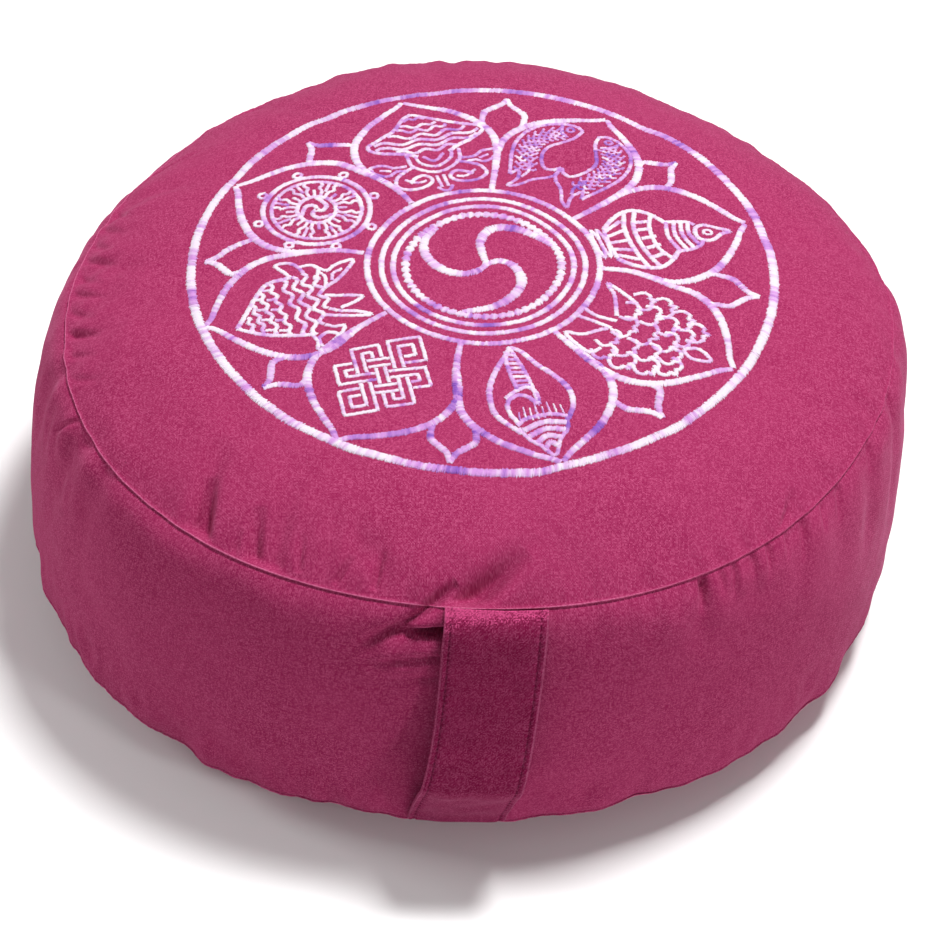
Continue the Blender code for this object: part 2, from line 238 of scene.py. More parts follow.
# How the shade of a thread changes along a line: level, slow changes and their length, how far
# apart two lines are read, and streaks with their softness.
DYE_LEVEL, DYE_CHANGE, DYE_LENGTH, DYE_APART = -0.02, 0.23, 0.017, 0.31
DYE_STREAKS, STREAK_BLUR = 0.09, (0.5, 0.7, 0.5)

# The painted highlight on the ridge and the painted shade in the stitched row beside a seam and
# beside an edge of the strap: where each lies in millimetres and how strongly it shows, then the
# stitch length in metres. The top seam's painted highlight fades to the right: from and to which
# X + 0.8 Z, and what is kept of it.
SEAM_LINE = {
    "name": "seam_distance",
    "ridge": (0.1, 0.95),
    "row": (-0.6, 0.30),
    "stitch": 0.0026,
    "fade": (0.13, 0.20, 0.25),
}
EDGE_LINE = {"name": "edge_distance", "ridge": (0.5, 0.40), "row": (2.6, 0.62), "stitch": 0.0030}
LINE_CORE = 0.08
RIDGE_SPREAD, ROW_SPREAD = 0.34, 0.55

# How much the weave, its slubs and its uneven yarns count in the cloth's height and in its shade.
GRAIN_HEIGHT = (0.3, 0.25, 0.5)
GRAIN_SHADE = (0.1, 0.5, 0.72)
GRAIN_LEVEL = 0.36
TWILL_RIBS = 0.62
SLUB_WAYS = ((0.07, 1.1), (1.1, 0.07))

# The darkest and lightest yarns, then the painted highlights on a seam's ridge and on the strap's
# upper fold: each is a factor of the dye, and how much grey is added, in linear red, green and
# blue. Then the soft patches of the dye, the painted shade of the sunk row, the roughness, the
# strength and distance of each bump, the pitch of a thread's twist, the depth of the sunk row and
# the scale of the breaks in the painted highlight along a ridge.
YARN_OR_HIGHLIGHT_GREY = (0.16, 0.10, 0.14)
DARK_YARN, LIGHT_YARN = (0.86, -0.17), (1.29, 0.31)
RIDGE_HIGHLIGHT_COLOUR, FOLD_HIGHLIGHT_COLOUR = (1.5, 1.0), (2.4, 0.3)
PATCH_SIZE, PATCH_STRENGTH, PATCH_COLOUR = 0.045, 0.3, 1.12
ROW_SHADE_COLOUR = 0.2
CLOTH_ROUGHNESS = (0.975, 0.865)
CLOTH_BUMP, THREAD_BUMP, TOPSTITCH_BUMP = (0.46, 0.00022), (0.4, 0.0001), (0.5, 0.0001)
THREAD_TWIST, TOPSTITCH_TWIST = 0.0005, 0.0006
ROW_DEPTH = 1.2
HIGHLIGHT_BREAK_GRAIN = 1100.0
CLOTH_GLOSS = {
    "Sheen Weight": 0.13,
    "Sheen Roughness": 0.42,
    "Sheen Tint": (1.0, 0.46, 0.70, 1.0),
    "Specular IOR Level": 0.05,
    "Specular Tint": (1.0, 0.35, 0.60, 1.0),
}

# The embroidery, in millimetres. A petal's points are (sideways to the right, outwards).
MEDALLION_MIDDLE = (1.5, 0.0)
RING_MIDDLE = (1.3, 2.0)
PETAL_MIDDLES = (17.4, 62.6, 107.8, 153.6, 199.6, 242.6, 286.8, 331.2)
PETAL_FEET = (-1.0, 39.5, 85.0, 127.0, 173.0, 219.4, 262.0, 308.0, 359.0)
SMALL_PETAL_TIPS = (
    (41.2, 106.5), (84.9, 111.0), (133.1, 106.0), (179.3, 109.0), (221.8, 108.5), (265.2, 110.5),
    (310.4, 108.5), (353.6, 111.0),
)

# How violet a thread is round the panel: a base level, and peaks with angle, spread and height.
RING_DYE = (0.25, (88, 34, 0.28), (270, 20, 0.37), (244, 10, 0.20), (14, 18, 0.17), (44, 12, 0.14))
MIDDLE_DYE = (0.24, (265, 45, 0.27), (95, 40, 0.18), (5, 30, 0.05))
PETAL_DYE = (
    0.27, (248, 30, 0.33), (290, 24, 0.23), (100, 40, 0.18), (175, 14, 0.10), (48, 16, 0.16)
)

# The camera, which stands in front and looks down: its own axes before it rolls, its roll in
# radians, and its place. Then each light's place, the setting of its power, and its width.
CAMERA_RIGHT = Vector((0.99999749, 0.00168078, -0.00148043))
CAMERA_UP = Vector((-0.00011523, 0.69869761, 0.71541711))
CAMERA_FORWARD = Vector((-0.00223683, 0.71541514, -0.69869605))
CAMERA_ROLL = 0.0247
CAMERA_PLACE = Vector((0.0, -0.90528, 0.91856))
LIGHTS = {
    "key_light": ((0.48, 0.32, 1.93), "key_power", 0.42),
    "side_light": ((1.42, -1.34, 0.95), "side_power", 0.30),
    "rim_light": ((-1.6, 0.3, 0.9), "rim_power", 0.6),
}


def metres(name, description, default):
    """A length that the user can change, in metres."""
    return FloatProperty(name=name, description=description, default=default, unit="LENGTH")


def amount(name, description, default):
    """A plain number that the user can change."""
    return FloatProperty(name=name, description=description, default=default)


def tint(name, description, default):
    """A colour that the user can change."""
    return FloatVectorProperty(
        name=name, description=description, default=(*default, 1.0), subtype="COLOR", size=4
    )


class CoverSettings(PropertyGroup):
    """Sizes and colours of the cushion's cover."""

    seam_radius: metres("Panel radius", "Radius of the top panel at its seam", 0.165)
    seam_height: metres("Seam height", "Height of the top seam above the floor", 0.1212)
    crown: metres("Crown", "How far the filling raises the top panel above its seam", 0.0250)
    base_radius: metres("Base radius", "Radius of the bottom seam", 0.1790)
    base_height: metres("Base height", "Height of the bottom seam above the floor", 0.0180)
    belly: metres("Belly", "How far the side band bulges between its seams", 0.0068)
    ridge: metres("Seam ridge", "Height of the pressed edge along a seam", 0.00040)
    groove: metres(
        "Seam groove", "Depth of the line that the sewing pulls in beside the ridge", 0.00034
    )
    pucker: metres("Pucker", "Depth of the small dents that the stitches pull in", 0.0003)
    pucker_pitch: metres("Pucker pitch", "Distance between the dents of two stitches", 0.0039)
    columns: IntProperty(name="Columns", description="Faces round the cover", default=1080, min=120)
    thread: metres("Yarn pitch", "Distance between two yarns of the weave", 0.00048)
    colour: tint("Cloth colour", "Dyed colour of the cotton", (0.303, 0.031, 0.100))


class StrapSettings(PropertyGroup):
    """Sizes and colours of the carry strap."""

    width: metres("Width", "Width of the folded strap", 0.038)
    thickness: metres("Thickness", "Thickness of the folded strap", 0.0020)
    curl: metres("Curl", "How far the edges turn towards the cushion", 0.0011)
    stitch_inset: metres("Stitching inset", "Distance of the topstitching from the edge", 0.0026)
    stitch_length: metres("Stitch length", "Length of one topstitch with the gap after it", 0.0030)
    thread: metres("Yarn pitch", "Distance between two yarns of the twill", 0.00044)
    # A painted highlight: how far the strap's colour is painted lighter down from its upper fold.
    rubbed: metres("Painted fold highlight", "How far the cloth is rubbed pale from its upper fold", 0.0040)
    colour: tint("Strap colour", "Dyed colour of the twill", (0.198, 0.014, 0.062))


class EmbroiderySettings(PropertyGroup):
    """Sizes and colours of the satin-stitch pattern."""

    stitch_pitch: metres("Stitch pitch", "Distance between two satin stitches along a line", 0.0005)
    stitch_width: metres("Thread width", "Width of one laid thread", 0.00060)
    stitch_height: metres("Relief", "How far a satin line stands off the cloth", 0.00042)
    spread: amount("Spread", "How much wider a satin line lies than it is drawn", 1.2)
    pale: tint("Pale thread", "Lightest colour of the shaded thread", (0.76, 0.68, 0.77))
    middle: tint("Lavender thread", "Middle colour of the shaded thread", (0.56, 0.24, 0.60))
    deep: tint("Violet thread", "Darkest colour of the shaded thread", (0.21, 0.05, 0.42))


class StageSettings(PropertyGroup):
    """The floor, the lights and the camera."""

    floor_size: metres("Floor size", "Width of the floor", 6.0)
    floor_colour: tint("Floor colour", "Colour of the floor", (0.88, 0.88, 0.88))
    lens: amount("Lens", "Focal length on a 36 mm sensor, in millimetres", 115.38)
    key_power: amount("Main light", "Power of the soft light above and behind, in watts", 45.5)
    side_power: amount("Side light", "Power of the light in front and to the right, in watts", 9.8)
    rim_power: amount("Rim light", "Power of the weak light on the left, in watts", 11.5)
    surround: amount("Surround", "Strength of the even light from all round", 0.245)


# Small mathematics


def wave_sum(waves, angle):
    """How far a table of waves pushes out at each angle."""
    return sum(size * np.cos(count * np.radians(angle - crest)) for count, size, crest in waves)


def bell(distance, width):
    """One at no distance, fading to nothing beyond a width."""
    return np.exp(-((distance / width) ** 2))


def turn_from(middle, angle):
    """How far an angle lies from a middle, between -180 and 180 degrees."""
    return (angle - middle + 180) % 360 - 180


def unit(vectors):
    """The same directions with a length of one."""
    return vectors / np.linalg.norm(vectors, axis=-1, keepdims=True).clip(1e-12)


def heading(turn):
    """The direction at a turn, in radians."""
    return np.array([cos(turn), sin(turn)])


def left_of(way):
    """The direction to the left of another one."""
    return np.array([-way[1], way[0]])


def soft_noise(points, size, seed, waves=14):
    """Smooth variation of about -1 to 1 over points, with lumps of a given size."""
    picks = np.random.default_rng(seed)
    total = np.zeros(points.shape[:-1])
    for _ in range(waves):
        direction = picks.normal(size=points.shape[-1])
        direction *= 2 * pi / (size * np.linalg.norm(direction)) * picks.uniform(0.6, 1.3)
        total += np.sin(points @ direction + picks.uniform(0, 2 * pi))
    return total / waves**0.5


def graded(length, share, growth, coarsest):
    """Distances from a seam that start close together and widen, over a share of a length."""
    distances, step = [0.0], FINEST_ROW
    while distances[-1] + step < length * share:
        distances.append(distances[-1] + step)
        step = min(step * growth, coarsest)
    return np.array(distances)


def distance_run(line):
    """The distance run from the start of a line to each of its points."""
    return np.concatenate([[0], np.cumsum(np.linalg.norm(np.diff(line, axis=0), axis=1))])


def read_along(line, run, at):
    """The points of a line at given distances from its start."""
    return np.stack([np.interp(at, run, values) for values in line.T], -1)


def smooth_curve(points, closed=False, spacing=0.6):
    """A smooth line through a few points, as points that lie close together."""
    points = np.asarray(points, float)
    count = len(points)
    line = []
    for index in range(count if closed else count - 1):
        if closed:
            before, start, end, after = (points[(index + step) % count] for step in (-1, 0, 1, 2))
        else:
            start, end = points[index], points[index + 1]
            before = points[index - 1] if index else 2 * start - end
            after = points[index + 2] if index + 2 < count else 2 * end - start
        steps = max(2, ceil(np.linalg.norm(end - start) / spacing))
        t = np.linspace(0, 1, steps, endpoint=False)[:, None]
        line.append(
            start
            + t * (end - before) / 2
            + t**2 * (before - 2.5 * start + 2 * end - after / 2)
            + t**3 * (1.5 * (start - end) + (after - before) / 2)
        )
    line.append(points[:1] if closed else points[-1:])
    return np.concatenate(line)


def read_smooth(values, position):
    """Values read along their first axis on a smooth curve, at positions counted in rows."""
    index = np.minimum(position.astype(int), len(values) - 2)
    t = (position - index).reshape(-1, *[1] * (values.ndim - 1))
    before, start = values[np.maximum(index - 1, 0)], values[index]
    end, after = values[index + 1], values[np.minimum(index + 2, len(values) - 1)]
    slope_in, slope_out, rise = (end - before) / 2, (after - start) / 2, end - start
    bend = 3 * rise - 2 * slope_in - slope_out
    return start + t * (slope_in + t * (bend + t * (slope_in + slope_out - 2 * rise)))


def circle(middle, radius, spacing=1.5):
    """A closed circle, as points that lie close together."""
    steps = max(12, ceil(2 * pi * radius / spacing))
    turns = np.radians(np.linspace(0, 360, steps + 1))
    return np.stack([middle[0] + radius * np.cos(turns), middle[1] + radius * np.sin(turns)], 1)


def wavy(start, end, waves, size, sag=0.0):
    """A wavy line from start to end, that sags in its middle."""
    share = np.linspace(0, 1, waves * 8 + 1)[:, None]
    start, end = np.array(start, float), np.array(end, float)
    along = end - start
    across = left_of(along) / np.linalg.norm(along)
    lift = size * np.sin(2 * pi * waves * share) - sag * np.sin(pi * share)
    return start + along * share + across * lift


# Meshes


def mesh_object(name, points, faces):
    """A new smooth object, made from an array of points and a list of faces."""
    mesh = bpy.data.meshes.new(name)
    mesh.from_pydata(points.tolist(), [], faces)
    mesh.update()
    mesh.shade_smooth()
    item = bpy.data.objects.new(name, mesh)
    bpy.context.scene.collection.objects.link(item)
    return item


def ring_faces(rows, columns):
    """The row, the column and the corners of each face of a grid whose rows are closed rings."""
    row, column = np.meshgrid(np.arange(rows - 1), np.arange(columns), indexing="ij")
    after = (column + 1) % columns
    start, below = row * columns, (row + 1) * columns
    corners = np.stack([start + column, below + column, below + after, start + after], -1)
    return row, column, corners.reshape(-1, 4)


def set_uv(mesh, name, per_corner):
    """Give a mesh a UV map, with one place for each face corner."""
    layer = mesh.uv_layers.new(name=name)
    layer.data.foreach_set("uv", per_corner.astype(np.float32).ravel())


def set_values(mesh, name, per_point):
    """Give a mesh a named number at each point."""
    values = mesh.attributes.new(name, "FLOAT", "POINT")
    values.data.foreach_set("value", per_point.astype(np.float32).ravel())


def dress(item, material, replaced=None):
    """Give a finished piece its material and the body it rides on, and hide the part that it
    replaces.
    """
    item.data.materials.append(material)
    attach(item, "root")
    if replaced:
        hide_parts(replaced)


# The cover


def turned_point(radius, angle, height, lean):
    """Points at a radius, an angle and a height, with a share of the cover's lean."""
    x = radius * np.cos(np.radians(angle)) + LEAN_X * lean
    y = radius * np.sin(np.radians(angle)) + LEAN_Y * lean
    return np.stack([x, y, height + 0 * angle], -1)


def top_point(cover, share, angle):
    """Points of the top panel, at a share of the way from its middle to its seam."""
    radius = share * (cover.seam_radius + wave_sum(SEAM_WAVES, angle))
    height = cover.seam_height + cover.crown * (1 - share**CROWN_POWER)
    return turned_point(radius, angle, height, 0)


def band_point(cover, down, angle):
    """Points of the side band, at a share of the way down from the top seam to the bottom one."""
    bulge = cover.belly * np.sin(pi * np.clip(down, 0, 1) ** BELLY_SKEW).clip(0) ** BELLY_ROUND
    bulge = bulge * (1 - np.exp(-np.clip(down, 0, 1) / SEAM_EASE))
    radius = cover.seam_radius + (cover.base_radius - cover.seam_radius) * down + bulge
    radius = radius + wave_sum(SEAM_WAVES, angle) * (1 - down) + wave_sum(BASE_WAVES, angle) * down
    height = cover.seam_height - (cover.seam_height - cover.base_height) * down
    return turned_point(radius, angle, height, down)


def under_point(cover, share, angle):
    """Points of the underside, at a share of the way from its middle to the bottom seam."""
    radius = share * (cover.base_radius + wave_sum(BASE_WAVES, angle))
    rise = np.clip(share - RESTING_SHARE, 0, None) / (1 - RESTING_SHARE)
    return turned_point(radius, angle, cover.base_height * rise**UNDERSIDE_POWER, share)


def outward(cover, shape, station, angle):
    """The outward direction of one panel's smooth shape."""
    before = np.clip(station - SLOPE_STEP, 0, None)
    after = np.clip(station + SLOPE_STEP, None, 1)
    along = shape(cover, after, angle) - shape(cover, before, angle)
    around = shape(cover, station, angle + 1) - shape(cover, station, angle - 1)
    normal = np.cross(along, around)
    return unit(-normal if shape is under_point else normal)


def shaped(cover, zones, angle):
    """The points and outward directions of several panels' rows, from the top to the underside."""
    points = np.concatenate([shape(cover, station, angle) for shape, station in zones])
    normals = np.concatenate([outward(cover, shape, station, angle) for shape, station in zones])
    return points, normals


def fold_press(cover, fold, angle, reach):
    """How far one fold presses the cloth in: deepest near its start, fading at both ends.

    A fold that starts at the seam stays on its own side, because the sewing holds the cloth.
    """
    start, start_reach, stop, stop_reach, width, depth = fold
    across = np.radians(turn_from(start, angle)) * cover.seam_radius
    along = reach - start_reach
    end_across = radians(stop - start) * cover.seam_radius
    end_along = stop_reach - start_reach
    length = hypot(end_across, end_along)
    forward = (across * end_across + along * end_along) / length
    sideways = (across * end_along - along * end_across) / length
    run = ((forward + width) / (length + 2 * width)).clip(0, 1)
    ratio = (sideways / width) ** 2
    press = depth * np.sin(pi * run**FOLD_START) ** FOLD_ENDS
    press = press * (1 - FOLD_LIP * ratio) * np.exp(-ratio)
    if abs(start_reach) < FOLD_HELD:
        own_side = np.clip(np.sign(stop_reach) * reach, 0, None)
        press = press * (1 - bell(own_side, FOLD_CLEAR))
    return press


def seam_profile(cover, distance):
    """The pressed edge of a seam and the groove beside it, by distance from the sewing."""
    ridge = cover.ridge * bell(distance - RIDGE_AT, RIDGE_WIDTH)
    return ridge - cover.groove * bell(distance - GROOVE_AT, GROOVE_WIDTH)


def stitch_dents(cover, around, reach, from_base):
    """The small dents that the stitches draw along both seams, uneven in depth and spacing."""
    wander = sum(size * np.sin(around / length + start) for size, length, start in PUCKER_WANDER)
    beat = 0.5 + 0.5 * np.cos(2 * pi * around / cover.pucker_pitch + wander * 3)
    uneven = np.sin(around / 0.023 + 2) * np.sin(around / 0.037)
    uneven = PUCKER_LEAST + PUCKER_CHANGE * uneven
    near = np.exp(-np.abs(reach - PUCKER_AT) / PUCKER_REACH)
    near = near + BASE_PUCKERS * np.exp(-np.abs(from_base) / PUCKER_REACH)
    return cover.pucker * beat * uneven * near


def cloth_relief(cover, angle, reach, points):
    """How far seams, folds, gathers and filling move each point along its outward direction."""
    from_base = reach + (cover.seam_height - cover.base_height)
    around = np.radians(angle) * cover.seam_radius + 0 * reach
    relief = -PULL_DEPTH * bell(reach, TOP_PULL_REACH)
    relief = relief - PULL_DEPTH * bell(from_base, BASE_PULL_REACH)
    for fold in SOFT_FOLDS + CRISP_FOLDS:
        relief = relief - fold_press(cover, fold, angle, reach)
    front = 1 - bell(angle - FRONT, FRONT_FLAT_ANGLE)
    relief = relief + wave_sum(GATHERS, angle) * bell(from_base, GATHER_REACH) * front
    relief = relief - stitch_dents(cover, around, reach, from_base)
    draws = soft_noise(np.stack([around, DRAW_STRETCH * reach + 0 * angle], -1), DRAW_SIZE, 3)
    draws = DRAW_DEPTH * draws * (bell(reach, TOP_DRAW_REACH) + bell(from_base, BASE_DRAW_REACH))
    relief = relief + draws
    plan = np.stack([around, RUMPLE_STRETCH * reach + 0 * angle], -1)
    rumples = soft_noise(plan, RUMPLE_SIZE, 13)
    for middle, height, half_angle, half_reach, depth in RUMPLES:
        aside, above = turn_from(middle, angle) / half_angle, (reach - height) / half_reach
        relief = relief + depth * rumples * np.exp(-(aside**2) - above**2)
    for depth, size, seed in LUMPS:
        relief = relief + depth * soft_noise(points, size, seed)
    return relief + seam_profile(cover, reach) + seam_profile(cover, -from_base)


def closed_form(name, grid):
    """An object made of a grid of rows round a closed form, with a point at each pole."""
    rows, columns = grid.shape[:2]
    points = np.concatenate([grid.reshape(-1, 3), [grid[0].mean(0), grid[-1].mean(0)]])
    row, column, quads = ring_faces(rows, columns)
    ring, last = np.arange(columns), (rows - 1) * columns
    following = (ring + 1) % columns
    cap = np.stack([np.full(columns, rows * columns), ring, following], -1)
    foot = np.stack([np.full(columns, rows * columns + 1), last + following, last + ring], -1)
    ends = np.concatenate([cap, foot])
    item = mesh_object(name, points, quads.tolist() + ends.tolist())
    return item, points, row, column, quads, ends


def gathered_cloth(cover, fine_angle, fine_reach):
    """Blow a coarse cover up with Blender's cloth, and read where it gathers into folds.

    The seams and the resting patch are held while the filling presses the panel up, so the cloth
    beside the seam gathers, first where the soft folds are pressed into it. What is read is how far
    each place stands out from the mean of its row, for every row of the fine cover.
    """
    angle = np.arange(TRIAL_COLUMNS)[None, :] * 360 / TRIAL_COLUMNS
    band = cover.seam_height - cover.base_height
    top, side, under = TRIAL_TOP, TRIAL_SIDE, TRIAL_UNDER
    zones = ((top_point, top[:, None]), (band_point, side[:, None]), (under_point, under[:, None]))
    grid, normals = shaped(cover, zones, angle)
    rows = np.concatenate(
        [(1 - top) * cover.seam_radius, -side * band, -band - (1 - under) * cover.base_radius]
    )
    for fold in SOFT_FOLDS:
        grid = grid - normals * fold_press(cover, fold, angle, rows[:, None])[..., None]
    item = closed_form("blown_up_cover", grid)[0]
    numbers = np.arange(grid[..., 0].size).reshape(grid.shape[:2])
    held = numbers[[len(top) - 1, len(top) + len(side) - 1, -3, -2, -1]].ravel().tolist()
    item.vertex_groups.new(name="held").add(held + [grid[..., 0].size + 1], 1.0, "REPLACE")
    cloth = item.modifiers.new("blow_up", "CLOTH")
    for name, value in TRIAL_CLOTH.items():
        setattr(cloth.settings, name, value)
    cloth.settings.effector_weights.gravity = 0
    cloth.point_cache.frame_start, cloth.point_cache.frame_end = 1, TRIAL_STEPS
    for step in range(1, TRIAL_STEPS + 1):
        bpy.context.scene.frame_set(step)
    bpy.ops.object.select_all(action="DESELECT")
    bpy.context.view_layer.objects.active = item
    bpy.ops.object.modifier_apply(modifier=cloth.name)
    places = np.array([vert.co for vert in item.data.vertices])[:-2].reshape(grid.shape)
    bpy.data.objects.remove(item)
    bpy.context.scene.frame_set(1)
    moved = ((places - grid) * normals).sum(-1)
    moved = moved - moved.mean(1, keepdims=True)
    moved[1:-1] = (moved[:-2] + 2 * moved[1:-1] + moved[2:]) / 4
    moved = (np.roll(moved, 1, 1) + 2 * moved + np.roll(moved, -1, 1)) / 4
    moved = TRIAL_CAP * np.tanh(moved / TRIAL_CAP)
    ring = np.concatenate([moved[:, -1:], moved, moved[:, :2]], 1)
    waves = read_smooth(ring.T, 1 + fine_angle.ravel() % 360 * TRIAL_COLUMNS / 360).T
    return read_smooth(waves, np.interp(-fine_reach.ravel(), -rows, np.arange(len(rows))))


def column_angles(columns):
    """The angles of the cover's columns, which lie closest together at the finest folds."""
    turn = np.arange(columns) * 2 * pi / columns
    return np.degrees(turn - COLUMNS_CLOSER * (np.sin(turn - CLOSEST_TURN) + sin(CLOSEST_TURN)))


def cover_grid(cover):
    """Points, angle, reach and panel of every row of the cover, from the top to the underside."""
    angle = column_angles(cover.columns)[None, :]
    band = cover.seam_height - cover.base_height
    side = graded(band, *BAND_ROWS)
    top_reach = graded(cover.seam_radius, *PANEL_ROWS)[::-1][:, None]
    side_reach = -np.concatenate([side[1:], (band - side)[::-1]])[:, None]
    under_reach = graded(cover.base_radius, *UNDER_ROWS)[1:][:, None]
    zones = (
        (top_point, 1 - top_reach / cover.seam_radius),
        (band_point, -side_reach / band),
        (under_point, 1 - under_reach / cover.base_radius),
    )
    points, normals = shaped(cover, zones, angle)
    reach = np.concatenate([top_reach, side_reach, -band - under_reach])
    kinds = np.repeat(range(3), [len(station) for _, station in zones])
    for _ in range(3):
        normals[1:-1] = normals[:-2] + 2 * normals[1:-1] + normals[2:]
        normals = unit(normals)
    relief = cloth_relief(cover, angle, reach, points)
    relief = relief + gathered_cloth(cover, angle, reach)
    points = points + normals * relief[..., None]
    points[..., 2] = points[..., 2].clip(0)
    return points, angle, reach, kinds


def cover_mesh(cover):
    """The closed cover as an object, with the cloth's own directions in a UV map."""
    grid, angle, reach, kinds = cover_grid(cover)
    item, points, row, column, quads, ends = closed_form("cushion_cover", grid)
    # Both panels are cut from flat cloth, and the band is a long strip.
    on_band = (kinds[:-1] == 1) & (kinds[1:] == 1) | (kinds[:-1] != kinds[1:])
    sides = np.append(angle[0], angle[0, 0] + 360)
    turn = np.stack([sides[column], sides[column], sides[column + 1], sides[column + 1]], -1)
    height = np.stack([reach[row, 0], reach[row + 1, 0], reach[row + 1, 0], reach[row, 0]], -1)
    strip = np.stack([np.radians(turn) * STRIP_RADIUS, height], -1).reshape(-1, 4, 2)
    banded = np.repeat(on_band, cover.columns)
    corners = np.where(banded[:, None, None], strip, points[quads][..., :2])
    tips = points[ends][..., :2]
    set_uv(item.data, "cloth", np.concatenate([corners.reshape(-1, 2), tips.reshape(-1, 2)]))
    band = cover.seam_height - cover.base_height
    nearest = np.where(reach > -band / 2, reach, -band - reach) + 0 * angle
    distances = np.concatenate([nearest.ravel() * 1000, [FAR_FROM_SEAM, FAR_FROM_SEAM]])
    set_values(item.data, "seam_distance", distances)
    return item


# The strap


def strap_frames(cover):
    """Middle, outward direction and distance run of the strap at even steps along its route."""
    position = np.linspace(0, len(STRAP_ROUTE) - 1, ROUTE_STEPS * len(STRAP_ROUTE))
    down, away, shift = read_smooth(np.array(STRAP_ROUTE), position).T
    middle = band_point(cover, down, np.full_like(down, FRONT))
    middle[:, 1] -= away
    middle[:, 0] = shift
    run = distance_run(middle)
    even = np.linspace(0, run[-1], STRAP_STEPS)
    middle = read_along(middle, run, even)
    return middle, unit(np.cross([1.0, 0.0, 0.0], np.gradient(middle, axis=0))), even


def strap_place(strap, frames, run, aside, lift):
    """Points on the strap, by distance along it, distance from its middle and height above that."""
    middle, normal, even = frames
    place = read_along(middle, even, run) + read_along(normal, even, run) * lift[..., None]
    place[..., 0] += aside
    place[..., 1] += strap.curl * (2 * aside / strap.width) ** 2
    return place


def strap_section(strap):
    """The outline of the folded strap: the distance from its middle, and the height."""
    half, thick = strap.width / 2, strap.thickness / 2
    side = np.linspace(-1, 1, STRAP_ACROSS)
    side = np.sin(side * pi / 2 * RIM_CROWDING) / sin(pi / 2 * RIM_CROWDING)
    inset = half - np.abs(side * half)
    rim = np.sqrt(np.clip(1 - (1 - np.clip(inset / thick, 0, 1)) ** 2, 0, 1))
    sewn = SEWN_DEPTH * bell(inset - strap.stitch_inset, SEWN_WIDTH)
    hem = HEM_HEIGHT * bell(inset - HEM_AT, HEM_WIDTH)
    upper = thick * rim - sewn * rim + hem * rim
    lower = -(thick * rim) + sewn * rim
    aside = np.concatenate([side * half, side[-2:0:-1] * half])
    return aside, np.concatenate([upper, lower[-2:0:-1]])


def strap_object(cover, strap):
    """The strap as a closed sheet that hangs between the two seams."""
    frames = strap_frames(cover)
    aside, height = strap_section(strap)
    run = frames[2][:, None] + 0 * aside
    across = aside[None, :] + 0 * run
    edge = strap.width / 2 - np.abs(across)
    # The edges are a little wavy and each stitch draws its own small dent.
    wobble = WOBBLE_SIZE * np.sin(run / WOBBLE_LENGTH + np.sign(across))
    wobble = wobble * (np.abs(across) / strap.width * 2) ** 3
    dents = DENT_DEPTH * np.cos(2 * pi * run / strap.stitch_length)
    dents = dents * bell(edge - strap.stitch_inset, DENT_WIDTH)
    soft = SOFT_DEPTH * soft_noise(np.stack([across, run], -1), SOFT_SIZE, 11)
    lift = height[None, :] + (dents + soft) * np.sign(height)[None, :] * (edge > RIM_ROOM)
    points = strap_place(strap, frames, run, across + wobble * np.sign(across), lift)
    rows, count = points.shape[:2]
    quads = ring_faces(rows, count)[2]
    ends = [list(range(count)), list(range(rows * count - 1, (rows - 1) * count - 1, -1))]
    item = mesh_object("carry_strap", points.reshape(-1, 3), quads.tolist() + ends)
    place = np.stack([across, run], -1).reshape(-1, 2)
    set_uv(item.data, "cloth", place[np.concatenate([quads.ravel(), *ends])])
    set_values(item.data, "edge_distance", (edge * 1000).ravel())
    return item, frames


# Stitches


def model_stitch():
    """One laid thread, modelled along X from -1 to 1: it rises, arches and dips into the cloth."""
    bpy.ops.object.select_all(action="DESELECT")
    bpy.ops.mesh.primitive_cylinder_add(
        vertices=6, radius=0.5, depth=2, end_fill_type="NGON", rotation=(0, radians(90), 0)
    )
    thread = bpy.context.object
    bpy.ops.object.transform_apply(location=True, rotation=True, scale=True)
    bpy.ops.object.mode_set(mode="EDIT")
    for place in STITCH_CUTS:
        bpy.ops.mesh.select_all(action="SELECT")
        bpy.ops.mesh.bisect(plane_co=(place, 0, 0), plane_no=(1, 0, 0))
    for low, high, size, rise in STITCH_BENDS:
        bpy.ops.mesh.select_all(action="DESELECT")
        bpy.ops.object.mode_set(mode="OBJECT")
        for vert in thread.data.vertices:
            vert.select = low < vert.co.x < high
        bpy.ops.object.mode_set(mode="EDIT")
        bpy.ops.transform.resize(value=(1, size, size))
        bpy.ops.transform.translate(value=(0, 0, rise))
    bpy.ops.mesh.select_all(action="SELECT")
    bpy.ops.mesh.normals_make_consistent(inside=False)
    bpy.ops.mesh.quads_convert_to_tris()
    bpy.ops.object.mode_set(mode="OBJECT")
    points = np.array([vert.co for vert in thread.data.vertices])
    faces = np.array([face.vertices for face in thread.data.polygons])
    bpy.data.objects.remove(thread)
    return points, faces


def stitch_object(name, stitch, middles, halves, alongs, ups, dyes):
    """One piece made of copies of a stitch, each with its middle, half length, width and height."""
    shape, faces = stitch
    points = middles[:, None]
    for axis, ways in enumerate((halves, alongs, ups)):
        points = points + shape[None, :, axis, None] * ways[:, None]
    number = np.arange(len(middles))
    all_faces = (faces[None] + number[:, None, None] * len(shape)).reshape(-1, 3)
    item = mesh_object(name, points.reshape(-1, 3), all_faces.tolist())
    set_values(item.data, "dye", np.repeat(dyes, len(shape)))
    length = np.linalg.norm(halves, axis=1)[:, None] * shape[None, :, 0]
    girth = np.arctan2(shape[:, 2], shape[:, 1])[None] * THREAD_RADIUS + 0 * length
    place = np.stack([length + number[:, None] * NEXT_THREAD, girth], -1).reshape(-1, 2)
    set_uv(item.data, "thread", place[all_faces.ravel()])
    return item


